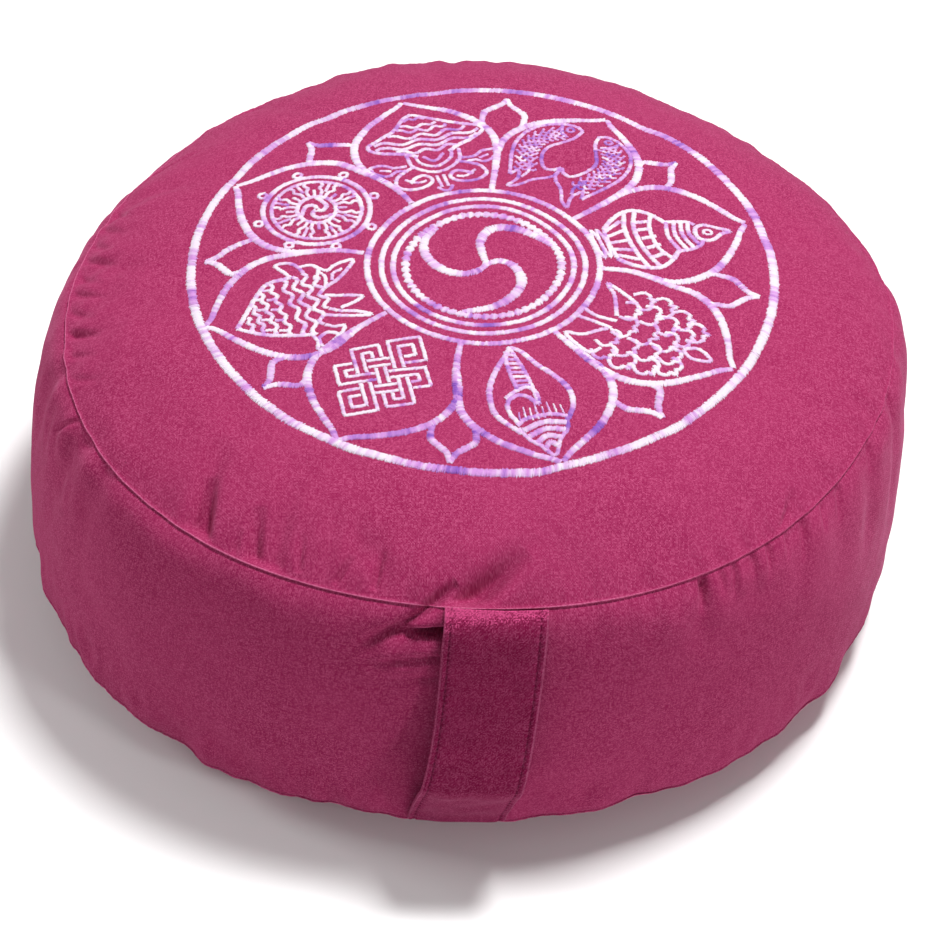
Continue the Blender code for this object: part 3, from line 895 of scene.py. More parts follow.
class Pattern:
    """Satin lines gathered for one embroidered group, in millimetres on the flat panel.

    Lines are drawn on a petal, whose azimuth says which way it points, or else round a middle.
    """

    def __init__(self, azimuth=None, middle=(0.0, 0.0)):
        self.lines = []
        self.azimuth = azimuth
        self.middle = middle

    def add(self, line, width, taper=0.0, swell=0.0, beads=0.0):
        """Add a line of a given width, which may thin at its ends, swell in its middle or bead."""
        line = np.asarray(line, float)
        if self.azimuth is not None:
            out = heading(radians(self.azimuth))
            line = line[:, :1] * -left_of(out) + line[:, 1:] * out
        self.lines.append((line + self.middle, width, taper, swell, beads))

    def curve(self, points, width, closed=False, **shape):
        """Add a smooth line through a few points."""
        self.add(smooth_curve(points, closed), width, **shape)

    def curves(self, *lines, flip=1, shift=0.0, **shape):
        """Add smooth lines, each given as its width and its points, as drawn or mirrored."""
        for width, *points in lines:
            self.curve(np.array(points) * (flip, 1) + (shift, 0), width, **shape)

    def waves(self, *lines):
        """Add wavy lines, each given as its width, start, end, waves, their size, and a sag."""
        for width, *line in lines:
            self.add(wavy(*line), width)

    def ring(self, middle, radius, width, **shape):
        """Add a circle."""
        self.add(circle(middle, radius), width, **shape)


def violet_at(places, base, *peaks):
    """How violet the thread is at places on the panel, by a base level and peaks round it."""
    azimuth = np.degrees(np.arctan2(places[:, 1], places[:, 0]))
    level = np.full(len(places), base)
    for angle, spread, height in peaks:
        level = level + height * bell(turn_from(angle, azimuth), spread)
    return level


def lay_line(line, thread, picks, seed):
    """The places, half widths, widths and changes of shade of the stitches along one line."""
    line, width, taper, swell, beads = line
    line = line / 1000
    run = distance_run(line)
    count = max(2, round(run[-1] / thread.stitch_pitch))
    at = (np.arange(count) + 0.5) * run[-1] / count
    centre = read_along(line, run, at)
    along = unit(read_along(line, run, at + LOOK_AHEAD) - read_along(line, run, at - LOOK_AHEAD))
    slant = SLANT + SLANT_SPREAD * picks.normal(size=count)
    side = left_of(along.T).T + along * slant[:, None]
    share = at / run[-1]
    thinned = 1 - taper * bell(np.minimum(share, 1 - share) * run[-1], TAPER_LENGTH)
    size = width / 1000 * thread.spread * thinned * (1 + swell * np.sin(pi * share))
    if beads:
        swelling = np.abs(np.sin(pi * at * 1000 / beads)) ** BEAD_ROUND
        size = size * (BEAD_NECK + BEAD_BULGE * swelling)
    size = size * (1 + WIDTH_SPREAD * picks.normal(size=count))
    place = centre + side * (PLACE_SPREAD * picks.normal(size=count))[:, None]
    changes = soft_noise(np.stack([at, at * 0 + seed[1] * DYE_APART], -1), DYE_LENGTH, sum(seed))
    streaks = np.convolve(picks.normal(size=count + 2), STREAK_BLUR, "valid")
    return centre, place, side * size[:, None] / 2, size, changes, streaks


def lay_pattern(name, pattern, stitch, thread, surface, dye, seed):
    """Lay satin stitches across every line of a pattern, on the cover as it lies."""
    picks = np.random.default_rng(seed)
    laid, dyes = [], []
    for number, line in enumerate(pattern.lines, 1):
        centre, *stitches, changes, streaks = lay_line(line, thread, picks, (seed, number))
        laid.append(stitches)
        shade = violet_at(centre, *dye) + DYE_LEVEL + DYE_CHANGE * changes
        dyes.append(shade + DYE_STREAKS * streaks)
    centres, sides, widths = (np.concatenate(values) for values in zip(*laid))
    left, right = drop(surface, centres - sides)[0], drop(surface, centres + sides)[0]
    middle, normal = drop(surface, centres)
    halves = (right - left) / 2
    alongs = np.cross(normal, halves)
    alongs *= thread.stitch_width / np.linalg.norm(alongs, axis=1, keepdims=True)
    rise = thread.stitch_height * np.clip(widths / FULL_WIDTH, LEAST_RISE, MOST_RISE)
    rise = rise * (1 + HEIGHT_SPREAD * picks.normal(size=len(widths)))
    middles = (left + right) / 4 + middle / 2 + normal * THREAD_LIFT
    dyes = np.concatenate(dyes).clip(0, 1)
    return stitch_object(name, stitch, middles, halves, alongs, normal * rise[:, None], dyes)


def drop(surface, plan):
    """Where plan points lie on the cover's top, and which way its cloth faces there."""
    down = Vector((0, 0, -1))
    hits = [surface.ray_cast(Vector((x, y, DROP_FROM)), down) for x, y in plan]
    return np.array([hit[0] for hit in hits]), np.array([hit[1] for hit in hits])


# Shader node groups and materials


class Graph:
    """A short way to place and join shader nodes."""

    def __init__(self, tree):
        self.tree = tree

    def join(self, socket, value):
        """Join a socket to another one, or set its value."""
        if isinstance(value, NodeSocket):
            self.tree.links.new(value, socket)
        else:
            socket.default_value = value

    def node(self, kind, links=None, **values):
        """Add a shader node, set its values, and join its sockets by name or number."""
        node = self.tree.nodes.new("ShaderNode" + kind)
        for key, value in values.items():
            setattr(node, key, value)
        for key, value in (links or {}).items():
            self.join(node.inputs[key], value)
        return node

    def value(self, kind, links=None, **values):
        """The first result of a new shader node."""
        return self.node(kind, links, **values).outputs[0]

    def math(self, operation, *values):
        """The result of a Math node."""
        return self.value("Math", dict(enumerate(values)), operation=operation)

    def weighted(self, *pairs):
        """The sum of some values, each times its weight."""
        parts = [self.math("MULTIPLY", *pair) for pair in pairs]
        total = parts[0]
        for part in parts[1:]:
            total = self.math("ADD", total, part)
        return total

    def spread(self, value, low, high, to_low=0.0, to_high=1.0):
        """A value moved from one range to another, and held inside it."""
        ends = {"From Min": low, "From Max": high, "To Min": to_low, "To Max": to_high}
        return self.value("MapRange", {"Value": value, **ends})

    def between(self, factor, first, second):
        """A number mixed from two."""
        return self.value("Mix", {0: factor, 2: first, 3: second})

    def mix(self, factor, first, second):
        """A colour mixed from two."""
        return self.node("Mix", {0: factor, 6: first, 7: second}, data_type="RGBA").outputs[2]

    def noise(self, place, scale, detail=2.0):
        """Smooth noise over a place."""
        return self.value("TexNoise", {"Vector": place, "Scale": scale, "Detail": detail})

    def axes(self, place):
        """The three numbers of a place."""
        return self.node("SeparateXYZ", {0: place}).outputs

    def object_place(self):
        """The place on the object, in metres."""
        return self.node("TexCoord").outputs["Object"]

    def attribute(self, name):
        """A named number of the mesh."""
        return self.node("Attribute", attribute_name=name).outputs["Fac"]

    def shared(self, make, links):
        """The results of a node group, which is made where it is first used."""
        group = bpy.data.node_groups.get(make.__name__) or make()
        return self.node("Group", links, node_tree=group).outputs


def new_group(name, inputs, outputs):
    """An empty shader node group. An input with no default is a vector, the rest are numbers."""
    group = bpy.data.node_groups.new(name, "ShaderNodeTree")
    for label, default in inputs.items():
        kind = "NodeSocketVector" if default is None else "NodeSocketFloat"
        socket = group.interface.new_socket(label, in_out="INPUT", socket_type=kind)
        if default is not None:
            socket.default_value = default
    for label in outputs:
        group.interface.new_socket(label, in_out="OUTPUT", socket_type="NodeSocketFloat")
    given, result = group.nodes.new("NodeGroupInput"), group.nodes.new("NodeGroupOutput")
    return group, Graph(group), given.outputs, result.inputs


def woven_grain():
    """Yarns that cross over and under, with slubs along both ways and an uneven dye in each."""
    group, graph, given, result = new_group(
        "woven_grain", {"Cloth": None, "Yarn Pitch": 0.0005, "Twill": 0.0}, ("Shade", "Height")
    )
    ways = graph.axes(given["Cloth"])[:2]
    u, v = (graph.math("DIVIDE", way, given["Yarn Pitch"]) for way in ways)
    turns = [graph.math("MULTIPLY", way, pi) for way in (u, v)]
    plain = graph.math("MULTIPLY", *(graph.math("SINE", turn) for turn in turns))
    diagonal = graph.math("MULTIPLY", graph.math("ADD", u, v), pi * TWILL_RIBS)
    ribs = graph.weighted((graph.math("SINE", diagonal), 0.8), (plain, 0.35))
    weave = graph.between(given["Twill"], plain, ribs)
    yarns = []
    for scale_u, scale_v in SLUB_WAYS:
        stretched = {0: graph.math("MULTIPLY", u, scale_u), 1: graph.math("MULTIPLY", v, scale_v)}
        yarns.append(graph.noise(graph.value("CombineXYZ", {**stretched, 2: scale_u}), 1.0))
    slubs = graph.math("SUBTRACT", graph.math("ADD", *yarns), 1.0)
    cell = graph.value("CombineXYZ", {0: graph.math("FLOOR", u), 1: graph.math("FLOOR", v)})
    speckle = graph.value("TexWhiteNoise", {"Vector": cell}, noise_dimensions="2D")
    speckle = graph.math("SUBTRACT", graph.math("POWER", speckle, 2.0), 0.33)
    parts = (weave, slubs, speckle)
    graph.join(result["Height"], graph.weighted(*zip(parts, GRAIN_HEIGHT)))
    shade = graph.math("ADD", graph.weighted(*zip(parts, GRAIN_SHADE)), GRAIN_LEVEL)
    graph.join(result["Shade"], graph.value("Clamp", {0: shade}))
    return group


def sewn_line():
    """Where a highlight is painted on the ridge of a seam or edge, and where shade is painted in
    the row of sunk stitches beside it.
    """
    places = {"Cloth": None, "Distance": 0.0, "Ridge At": 0.1, "Row At": -0.7}
    group, graph, given, result = new_group(
        "sewn_line", {**places, "Stitch Length": 0.0026, "Along V": 0.0}, ("Ridge", "Row")
    )
    u, v, _ = graph.axes(given["Cloth"])
    along = graph.math("MULTIPLY", graph.between(given["Along V"], u, v), 2 * pi)
    turn = graph.math("DIVIDE", along, given["Stitch Length"])
    beat = graph.math("ADD", graph.math("MULTIPLY", graph.math("COSINE", turn), 0.4), 0.65)
    gaps = graph.value("Clamp", {0: beat})
    # Breaks along the painted highlight of the ridge.
    highlight_breaks = graph.spread(graph.noise(given["Cloth"], HIGHLIGHT_BREAK_GRAIN), 0.3, 0.6, 0.25)
    for label, width, strength in (("Ridge", RIDGE_SPREAD, highlight_breaks), ("Row", ROW_SPREAD, gaps)):
        away = graph.math("SUBTRACT", given["Distance"], given[label + " At"])
        near = graph.spread(graph.math("ABSOLUTE", away), width, LINE_CORE)
        graph.join(result[label], graph.math("MULTIPLY", near, strength))
    return group


def worn_patches():
    """Broad, soft variation of a dye over the object."""
    group, graph, given, result = new_group("worn_patches", {"Patch Size": 0.05}, ("Mask",))
    scale = graph.math("DIVIDE", 1.0, given["Patch Size"])
    noise = graph.noise(graph.object_place(), scale, 3.0)
    graph.join(result["Mask"], graph.spread(noise, 0.35, 0.65))
    return group


def shaded(colour, factor):
    """A colour made lighter or darker."""
    return (*(min(channel * factor, 1.0) for channel in colour[:3]), 1.0)


def bleached(colour, factor, pale):
    """A dyed colour with grey added, for lighter yarns and for painted highlights, or dyed deeper
    where pale is below zero.
    """
    mixed = (channel * factor + grey * pale for channel, grey in zip(colour, YARN_OR_HIGHLIGHT_GREY))
    return (*(min(max(channel, 0.0), 1.0) for channel in mixed), 1.0)


def new_material(name):
    """A new material with its graph and the sockets of its shader."""
    material = bpy.data.materials.new(name)
    material.use_nodes = True
    return material, Graph(material.node_tree), material.node_tree.nodes["Principled BSDF"].inputs


def finish_material(graph, shader, base, rough, height, strength, distance):
    """Join a material's colour, roughness and bump to its shader."""
    bump = {"Strength": strength, "Distance": distance, "Height": height}
    graph.join(shader["Base Color"], base)
    graph.join(shader["Roughness"], rough)
    graph.join(shader["Normal"], graph.value("Bump", bump))


def rubbed_mask(graph, cloth, shade, rubbed):
    """Where a highlight is painted on the cloth down from its upper fold, with a ragged edge."""
    u, v, _ = graph.axes(cloth)
    ragged = graph.math("MULTIPLY", graph.math("SUBTRACT", shade, 0.3), rubbed * 1.3)
    place = graph.math("ADD", graph.math("SUBTRACT", v, ragged), graph.math("MULTIPLY", u, 0.10))
    pale = graph.spread(place, rubbed * 1.2, rubbed * 0.4)
    return graph.math("MULTIPLY", pale, graph.math("ADD", shade, 0.3))


def cloth_material(name, colour, pitch, twill, line, rubbed=0.0):
    """Dyed cotton with its weave, slubs, soft patches, and the pressed line of a seam or an edge,
    with a painted highlight on its ridge and painted shade in its row of stitches.

    line says which attribute holds the distance from that line, and where its ridge and its row of
    stitches lie.
    The last argument is how far a highlight is painted down from the cloth's upper fold.
    """
    material, graph, shader = new_material(name)
    (ridge_at, ridge_strength), (row_at, row_strength) = line["ridge"], line["row"]
    cloth = graph.value("UVMap", uv_map="cloth")
    grain = graph.shared(woven_grain, {"Cloth": cloth, "Yarn Pitch": pitch, "Twill": twill})
    patches = graph.shared(worn_patches, {"Patch Size": PATCH_SIZE})
    places = {"Distance": graph.attribute(line["name"]), "Ridge At": ridge_at, "Row At": row_at}
    stitches = {"Stitch Length": line["stitch"], "Along V": twill}
    sewn = graph.shared(sewn_line, {"Cloth": cloth, **places, **stitches})
    base = graph.mix(grain["Shade"], bleached(colour, *DARK_YARN), bleached(colour, *LIGHT_YARN))
    patch = graph.math("MULTIPLY", patches["Mask"], PATCH_STRENGTH)
    base = graph.mix(patch, base, shaded(colour, PATCH_COLOUR))
    # Painted shade in the sunk row of stitches.
    row = graph.math("MULTIPLY", sewn["Row"], row_strength)
    base = graph.mix(row, base, shaded(colour, ROW_SHADE_COLOUR))
    # Painted highlight along the ridge. On the top seam it fades out towards the right.
    ridge = graph.math("MULTIPLY", sewn["Ridge"], ridge_strength)
    if "fade" in line:
        near, far, kept = line["fade"]
        x, _, z = graph.axes(graph.object_place())
        right = graph.math("ADD", x, graph.math("MULTIPLY", z, 0.8))
        ridge = graph.math("MULTIPLY", ridge, graph.spread(right, far, near, kept))
    base = graph.mix(ridge, base, bleached(colour, *RIDGE_HIGHLIGHT_COLOUR))
    # Painted highlight down from the strap's upper fold.
    if rubbed:
        pale = rubbed_mask(graph, cloth, grain["Shade"], rubbed)
        base = graph.mix(pale, base, bleached(colour, *FOLD_HIGHLIGHT_COLOUR))
    rough = graph.spread(grain["Shade"], 0.0, 1.0, *CLOTH_ROUGHNESS)
    sunk = graph.math("MULTIPLY", sewn["Row"], ROW_DEPTH)
    height = graph.math("SUBTRACT", grain["Height"], sunk)
    finish_material(graph, shader, base, rough, height, *CLOTH_BUMP)
    for label, value in CLOTH_GLOSS.items():
        shader[label].default_value = value
    return material


def ply_twist(graph, pitch):
    """The twist of a thread's plies, from -1 to 1."""
    length, girth, _ = graph.axes(graph.value("UVMap", uv_map="thread"))
    turn = graph.math("MULTIPLY", graph.math("ADD", length, girth), 2 * pi / pitch)
    return graph.math("SINE", turn)


def embroidery_material(thread):
    """Shaded satin thread: white runs into lavender and violet, with the twist of its plies."""
    material, graph, shader = new_material("embroidery_thread")
    ramp = graph.node("ValToRGB", {0: graph.attribute("dye")})
    stops = ramp.color_ramp.elements
    stops[0].position, stops[0].color = 0.18, thread.pale
    stops[1].position, stops[1].color = 0.90, thread.deep
    between = stops.new(0.55)
    between.color = thread.middle
    fibre = graph.math("ADD", graph.math("MULTIPLY", ply_twist(graph, THREAD_TWIST), 0.5), 0.5)
    # Painted shade between the plies of the twisted thread.
    ply_gap_shade = (0.35, 0.16, 0.42, 1.0)
    base = graph.mix(graph.math("MULTIPLY", fibre, 0.16), ramp.outputs[0], ply_gap_shade)
    rough = graph.spread(fibre, 0.0, 1.0, 0.36, 0.5)
    finish_material(graph, shader, base, rough, fibre, *THREAD_BUMP)
    shader["Sheen Weight"].default_value = 0.15
    return material


def topstitch_material(colour):
    """Matt polyester thread in the colour of the strap."""
    material, graph, shader = new_material("seam_thread")
    dye = graph.attribute("dye")
    base = graph.mix(dye, shaded(colour, 1.25), shaded(colour, 1.9))
    rough = graph.spread(dye, 0.0, 1.0, 0.55, 0.7)
    twist = ply_twist(graph, TOPSTITCH_TWIST)
    finish_material(graph, shader, base, rough, twist, *TOPSTITCH_BUMP)
    return material


# The drawings of the embroidery


def large_petals():
    """Eight large pointed petals. Each line at a foot is shared with the next petal."""
    drawing = Pattern()
    for middle, before, after in zip(PETAL_MIDDLES, PETAL_FEET, PETAL_FEET[1:]):
        drawing.azimuth = middle
        for side, foot in ((1, middle - before), (-1, after - middle)):
            edge = (
                (foot, 46.5), (foot, 53.0), (foot * 0.85 + 22.5 * 0.15, 60.0),
                (foot * 0.4 + 22.8 * 0.6, 68.0), (22.2, 76.0), (20.4, 85.0), (16.8, 92.5),
                (11.6, 99.2), (6.2, 104.6), (2.4, 108.4), (0.2, 112.0),
            )
            turns = [(side * radians(turn), radius) for turn, radius in edge]
            line = [(radius * sin(turn), radius * cos(turn)) for turn, radius in turns]
            drawing.curve(line if side > 0 else line[2:], 2.1, swell=0.45)
    return drawing


def small_petals():
    """The tips of the petals that show between the large ones and end on their outlines."""
    drawing = Pattern()
    following = (*PETAL_MIDDLES[1:], PETAL_MIDDLES[0] + 360)
    for (tip, high), before, after in zip(SMALL_PETAL_TIPS, PETAL_MIDDLES, following):
        drawing.azimuth = tip
        for side, turn in ((1, tip - before - 17.6), (-1, after - 17.6 - tip)):
            end = (side * 91.0 * sin(radians(turn)), 91.0 * cos(radians(turn)))
            bend = (end[0] * 0.5 + side * 4.7, high * 0.45 + 51.6 - 7.0)
            line = ((0, 0), (1.7, 4.4), (5.2, 7.8), (8.4, 11.0))
            drawing.curve([*((side * x, high - low) for x, low in line), bend, end], 1.9, swell=0.4)
    return drawing


def vase(azimuth):
    """A round treasure vase with collars and a flame."""
    drawing = Pattern(azimuth)
    drawing.curves(
        (1.9, (-6.6, 79.8), (-13, 75.4), (-17, 69.5), (-16.5, 63.8), (-12.8, 58.2), (-8.2, 54.2)),
        (1.9, (12.0, 79.4), (16.6, 75), (19.3, 69.5), (18.6, 63.4), (15.4, 57.8), (11.4, 53.8)),
        (1.6, (-8.2, 54.3), (1.6, 53.4), (11.4, 53.9)),
        (1.6, (-12.2, 75.6), (-6, 72.8), (1.6, 71.6), (9.4, 72.2), (15.4, 75.2)),
        (1.8, (-17, 70.4), (-8.4, 66.9), (1, 65.8), (10.4, 66.5), (19, 69.2)),
        (1.8, (-16.8, 65.6), (-8.2, 63.0), (1, 62.1), (10.2, 62.6), (18.8, 64.6)),
    )
    for x in (-9.0, -4.2, 1.2, 7.0, 12.6):
        drawing.add(((x * 0.96, 73.4), (x * 1.06, 67.2)), 1.8)
    for x in (-12.0, -6.2, 0.8, 7.6, 13.6):
        drawing.add(((x, 62.4), (x * 0.62 + 0.6, 54.2)), 1.7)
    for x, level, half in ((2.8, 87.2, 7.6), (3.0, 84.4, 8.6), (3.2, 81.5, 9.2), (3.0, 78.4, 9.6)):
        drawing.curves((1.6, (x - half, level + 1.6), (x, level - 0.3), (x + half, level + 1.6)))
    drawing.curves(
        (1.6, (-6.8, 79.8), (-6.2, 84.6), (-4.8, 89), (-2.6, 91)),
        (1.6, (12.4, 79.4), (12.0, 84.6), (10.4, 89.4), (8, 91)),
    )
    flame = (
        (3.4, 89.4), (-0.8, 91), (-2, 95), (0.6, 99), (3.4, 104), (5.2, 99.4), (7.8, 96.2),
        (8.4, 93), (6.6, 90),
    )
    drawing.curve(flame, 1.7, closed=True)
    drawing.ring((3.1, 94.6), 1.7, 1.2)
    for level in (51.6, 49.2):
        foot = ((0.4, level - 1.2), (-9, level), (0.4, level + 1.2), (9.6, level))
        drawing.curve(foot, 1.2, closed=True)
    return drawing


def fishes(azimuth):
    """Two scaled fish that curve towards each other, heads outwards."""
    drawing = Pattern(azimuth)
    body = (
        (
            1.5, (-4.2, 98.6), (-8, 100.4), (-13.6, 99.2), (-20, 94.6), (-23.8, 88), (-25, 81),
            (-24, 74), (-21.4, 67), (-18.4, 60.6), (-16.8, 57),
        ),
        (
            1.5, (-4.2, 98.6), (-5, 93), (-8, 87.4), (-11, 82.4), (-11.8, 77.6), (-10, 72.2),
            (-6.6, 68), (-2.8, 68.4), (-0.6, 71.4),
        ),
        (
            1.4, (-16.8, 57), (-15, 61), (-12.6, 56), (-14, 49.6), (-10.6, 51.8), (-6.6, 58.4),
            (-2.4, 62.4), (-0.2, 66.6), (-0.6, 71.4),
        ),
        (1.2, (-13.0, 67.6), (-11.0, 62.6), (-11.8, 57.4)),
    )
    gill = (1.3, (-8.0, 91.6), (-11.6, 94), (-13.6, 98.6))
    spine = (
        (-9, 94.6), (-14.2, 90.6), (-17.6, 85), (-18.4, 79), (-17.2, 73), (-14.6, 67.6), (-12.6, 62)
    )
    line = smooth_curve(spine, spacing=2.0)
    for flip, shift in ((1, 0.0), (-1, -0.6)):
        drawing.curves(*body, flip=flip, shift=shift)
        drawing.ring((flip * -9.2 + shift, 97), 1.5, 1.1)
        drawing.curves(gill, flip=flip, shift=shift)
        for index in range(1, len(line) - 1):
            along = line[index + 1] - line[index - 1]
            along /= hypot(*along)
            across = left_of(along)
            for step in (-1.4, 0.0, 1.4) if index % 2 else (-0.7, 0.7):
                root = line[index] + across * step * 2.2
                tip = root + along * 1.3
                edge = (root - across * 1.5, tip - across * 0.6, tip + across * 0.6)
                drawing.curves((1.0, *edge, root + across * 1.5), flip=flip, shift=shift)
    return drawing


def parasol(azimuth):
    """A parasol with a pleated canopy, ribbons and a tassel."""
    drawing = Pattern(azimuth)
    drawing.curves(
        (
            1.7, (0.4, 101.4), (-3.4, 99.4), (-7.6, 94.4), (-11.4, 90.6), (-17.6, 87), (-22.8, 84),
            (-22.4, 80.6), (-17.4, 77.2), (-9.8, 74.6), (-4.6, 72),
        ),
        (
            1.7, (0.4, 101.4), (4.4, 99), (12.4, 94), (19.6, 90.2), (26.4, 86.4), (25.6, 82.6),
            (20.2, 79), (13.8, 76), (8.6, 72.6),
        ),
        (1.3, (-4.0, 97.2), (-1.4, 98.6), (0.6, 97.2), (2.6, 98.6), (5.4, 97)),
    )
    drawing.waves(
        (1.4, (-6.4, 94.4), (9.0, 94.2), 2, 0.9, 2.0),
        (1.4, (-8.6, 91.6), (13.0, 91.6), 3, 1.0, 2.4),
        (1.5, (-13.4, 87.8), (20.0, 88.4), 3, 1.3, 2.6),
        (1.6, (-20.4, 83.6), (25.0, 85.2), 3, 1.3, 2.2),
        (1.6, (-20.6, 80.4), (23.6, 82.0), 3, 1.2, 2.4),
        (1.5, (-12.6, 76.4), (16.6, 77.8), 3, 1.1, 1.8),
    )
    drawing.curves(
        (1.5, (-9.4, 73.4), (-8.2, 65.6), (0.8, 61), (10.8, 65.6), (13.2, 73.6)),
        (1.4, (-6.0, 72.4), (-4.6, 67.4), (1.2, 64.6), (7.8, 68), (9.8, 72.6)),
        (1.3, (-2.8, 71.6), (1.2, 68.0), (6.2, 71.8)),
    )
    ribbons = (
        (
            1.5, (-8.0, 66), (-12.5, 63.6), (-17.2, 60), (-18, 54.8), (-12.8, 51.6), (-6, 52.8),
            (-3.0, 56.8), (-6, 59.8), (-10, 58.2), (-12.6, 55.6),
        ),
        (1.2, (-14.2, 58.4), (-9.6, 55.4), (-5.6, 56.2)),
        (1.4, (-26.2, 70), (-20.6, 70), (-16.4, 67.2), (-11.0, 67.0)),
        (1.4, (-26.2, 70), (-24.6, 65.4), (-19.8, 62.6), (-16, 64.6), (-12.0, 64.0)),
        (1.1, (-22.4, 67.2), (-18.0, 65.4)),
    )
    for flip, shift in ((1, 0.0), (-1, 1.6)):
        drawing.curves(*ribbons, flip=flip, shift=shift)
    for x in (-0.6, 2.2):
        drawing.add(((x, 58.6), (x, 50.6)), 1.3)
    drawing.curves((1.4, (-2.4, 51), (-0.4, 48.2), (2.0, 48.2), (4.0, 51)))
    return drawing


def wheel(azimuth):
    """A wheel with eight spokes, a turning hub and eight knobs."""
    drawing = Pattern(azimuth)
    middle = np.array([-0.8, 73.7])
    for radius, width in ((21.7, 2.0), (18.2, 1.6), (7.9, 1.7)):
        drawing.ring(middle, radius, width)
    for turn in range(3):
        start = radians(120 * turn + 20)
        bends = ((0.4, 0.0), (2.6, 0.5), (4.8, 1.3), (7.4, 2.3))
        drawing.curve([middle + radius * heading(start + bend) for radius, bend in bends], 1.7)
    for turn in range(0, 360, 45):
        out = heading(radians(turn + 12))
        for flip in (1, -1):
            bends = ((8.2, 1.0), (11.6, 1.4), (13.8, 3.2), (15.6, 2.4), (18.0, 3.9))
            side = left_of(out) * flip
            drawing.curve([middle + out * radius + side * width for radius, width in bends], 1.3)
        drawing.add([middle + out * 11.6, middle + out * 18.0], 1.2)
        gap = heading(radians(turn + 34.5))
        drawing.add([middle + radius * gap for radius in (8.2, 12.4)], 1.2)
        drawing.ring(middle + 24.5 * heading(radians(turn + 3)), 1.7, 1.3)
    return drawing


def banner(azimuth):
    """A hanging banner of overlapping scales with streamers."""
    drawing = Pattern(azimuth)
    drawing.curves(
        (1.7, (-18.2, 73.6), (-17, 80), (-14.6, 88), (-11.8, 94), (-6.4, 101.2)),
        (1.8, (-6.4, 101.2), (1.6, 95), (10.6, 87.8), (14.8, 82.6), (15.4, 73.4)),
    )
    drawing.waves((1.5, (-9.8, 95.2), (-1.4, 95.6), 2, 0.9))
    rows = ((-11.8, 4.4, 91.4, 3), (-14.0, 9.8, 86.8, 4), (-15.8, 13.8, 81.8, 5))
    for index, (left, right, level, waves) in enumerate(rows):
        drawing.waves((1.5, (left, level), (right, level + 0.6), waves, 0.9))
        for step in range(waves if index else 0):
            x = left + (right - left) * (step + 0.4) / waves
            drawing.add(((x, level + 0.6), (x + 1.0, level + 4.2)), 1.3)
    drawing.waves(
        (1.6, (-18.2, 76.4), (15.2, 77.0), 4, 1.3),
        (1.6, (-18.6, 72.4), (15.4, 72.8), 4, 1.5),
        (1.6, (-14.0, 68.2), (16.0, 68.8), 4, 1.6),
        (1.5, (-6.0, 64.2), (13.0, 64.6), 3, 1.5),
    )
    drawing.curves((1.4, (-27.4, 75), (-23.0, 73.4), (-18.6, 74.2)))
    loop = (1.5, (-26.4, 72), (-21.4, 72.6), (-18.8, 68.4), (-21.4, 64.8), (-24.8, 68.6))
    drawing.curves(loop, closed=True)
    drawing.curves(
        (1.4, (-23, 65), (-17.6, 61), (-16.6, 65), (-14.4, 68)),
        (1.5, (-8.8, 67.6), (-12.6, 58), (-15.0, 49.4), (-11.4, 53.6), (-9.0, 60), (-6.4, 64)),
        (1.5, (-7.4, 59.6), (-5.8, 53.6), (-3.6, 49.6), (-1.8, 53.6), (-0.4, 59), (1.2, 63.6)),
        (1.5, (5.2, 62.6), (8.6, 56), (17.8, 46.8), (17.2, 54.4), (14.8, 59), (19.4, 63)),
        (1.2, (8.4, 58.4), (12.6, 56.8), (14.0, 52.6)),
        (1.5, (15.4, 73.4), (19.6, 75.2), (24.4, 77.2), (23.8, 72), (20, 69), (15.6, 68)),
        (1.4, (10.6, 65), (15.8, 61.8), (19.8, 63.6), (19.8, 69)),
        (1.3, (4.6, 62.4), (10.8, 60.4), (15.4, 62.2)),
    )
    return drawing


def knot(azimuth):
    """An endless knot: one ribbon that weaves through itself, shown by its two edges."""
    drawing = Pattern(azimuth)
    gap, turn, corner, half = 7.2, 15.2, 16.4, 1.75
    route = np.array([
        (-gap, turn), (0, turn), (0, -turn), (gap, -turn), (gap, corner), (corner, corner),
        (corner, gap), (-turn, gap), (-turn, 0), (turn, 0), (turn, -gap), (-corner, -gap),
        (-corner, -corner), (-gap, -corner),
    ])
    lean = heading(radians(45 - 4))
    for edge in (half, -half):
        line, upright = [], []
        for index in range(len(route)):
            ring = [route[(index + step) % len(route)] for step in (-1, 0, 1, 2)]
            steps = [after - before for before, after in zip(ring, ring[1:])]
            behind, along, ahead = (left_of(step / np.abs(step).sum()) * edge for step in steps)
            first, last = ring[1] + along + behind, ring[2] + along + ahead
            count = ceil(np.abs(last - first).sum() / 0.35)
            shares = np.linspace(0, 1, count, endpoint=False)
            line.extend(first + (last - first) * share for share in shares)
            upright.extend([steps[1][1] != 0] * count)
        line, upright = np.array(line), np.array(upright)
        cell = np.round(line / gap)
        crossing = np.abs(line - cell * gap).max(1) < half + 0.85
        crossing = crossing & (np.abs(cell).max(1) <= 1)
        over = (cell.sum(1) % 2 == 0) == upright
        shown = ~crossing | over
        starts = [index for index in range(len(line)) if shown[index] and not shown[index - 1]]
        for start in starts:
            run = []
            while shown[start % len(line)]:
                run.append(line[start % len(line)])
                start += 1
            x, y = np.array(run).T
            turned = np.stack([x * lean[0] - y * lean[1], x * lean[1] + y * lean[0]], 1)
            drawing.add(turned + (1.8, 74.6), 1.35)
    return drawing


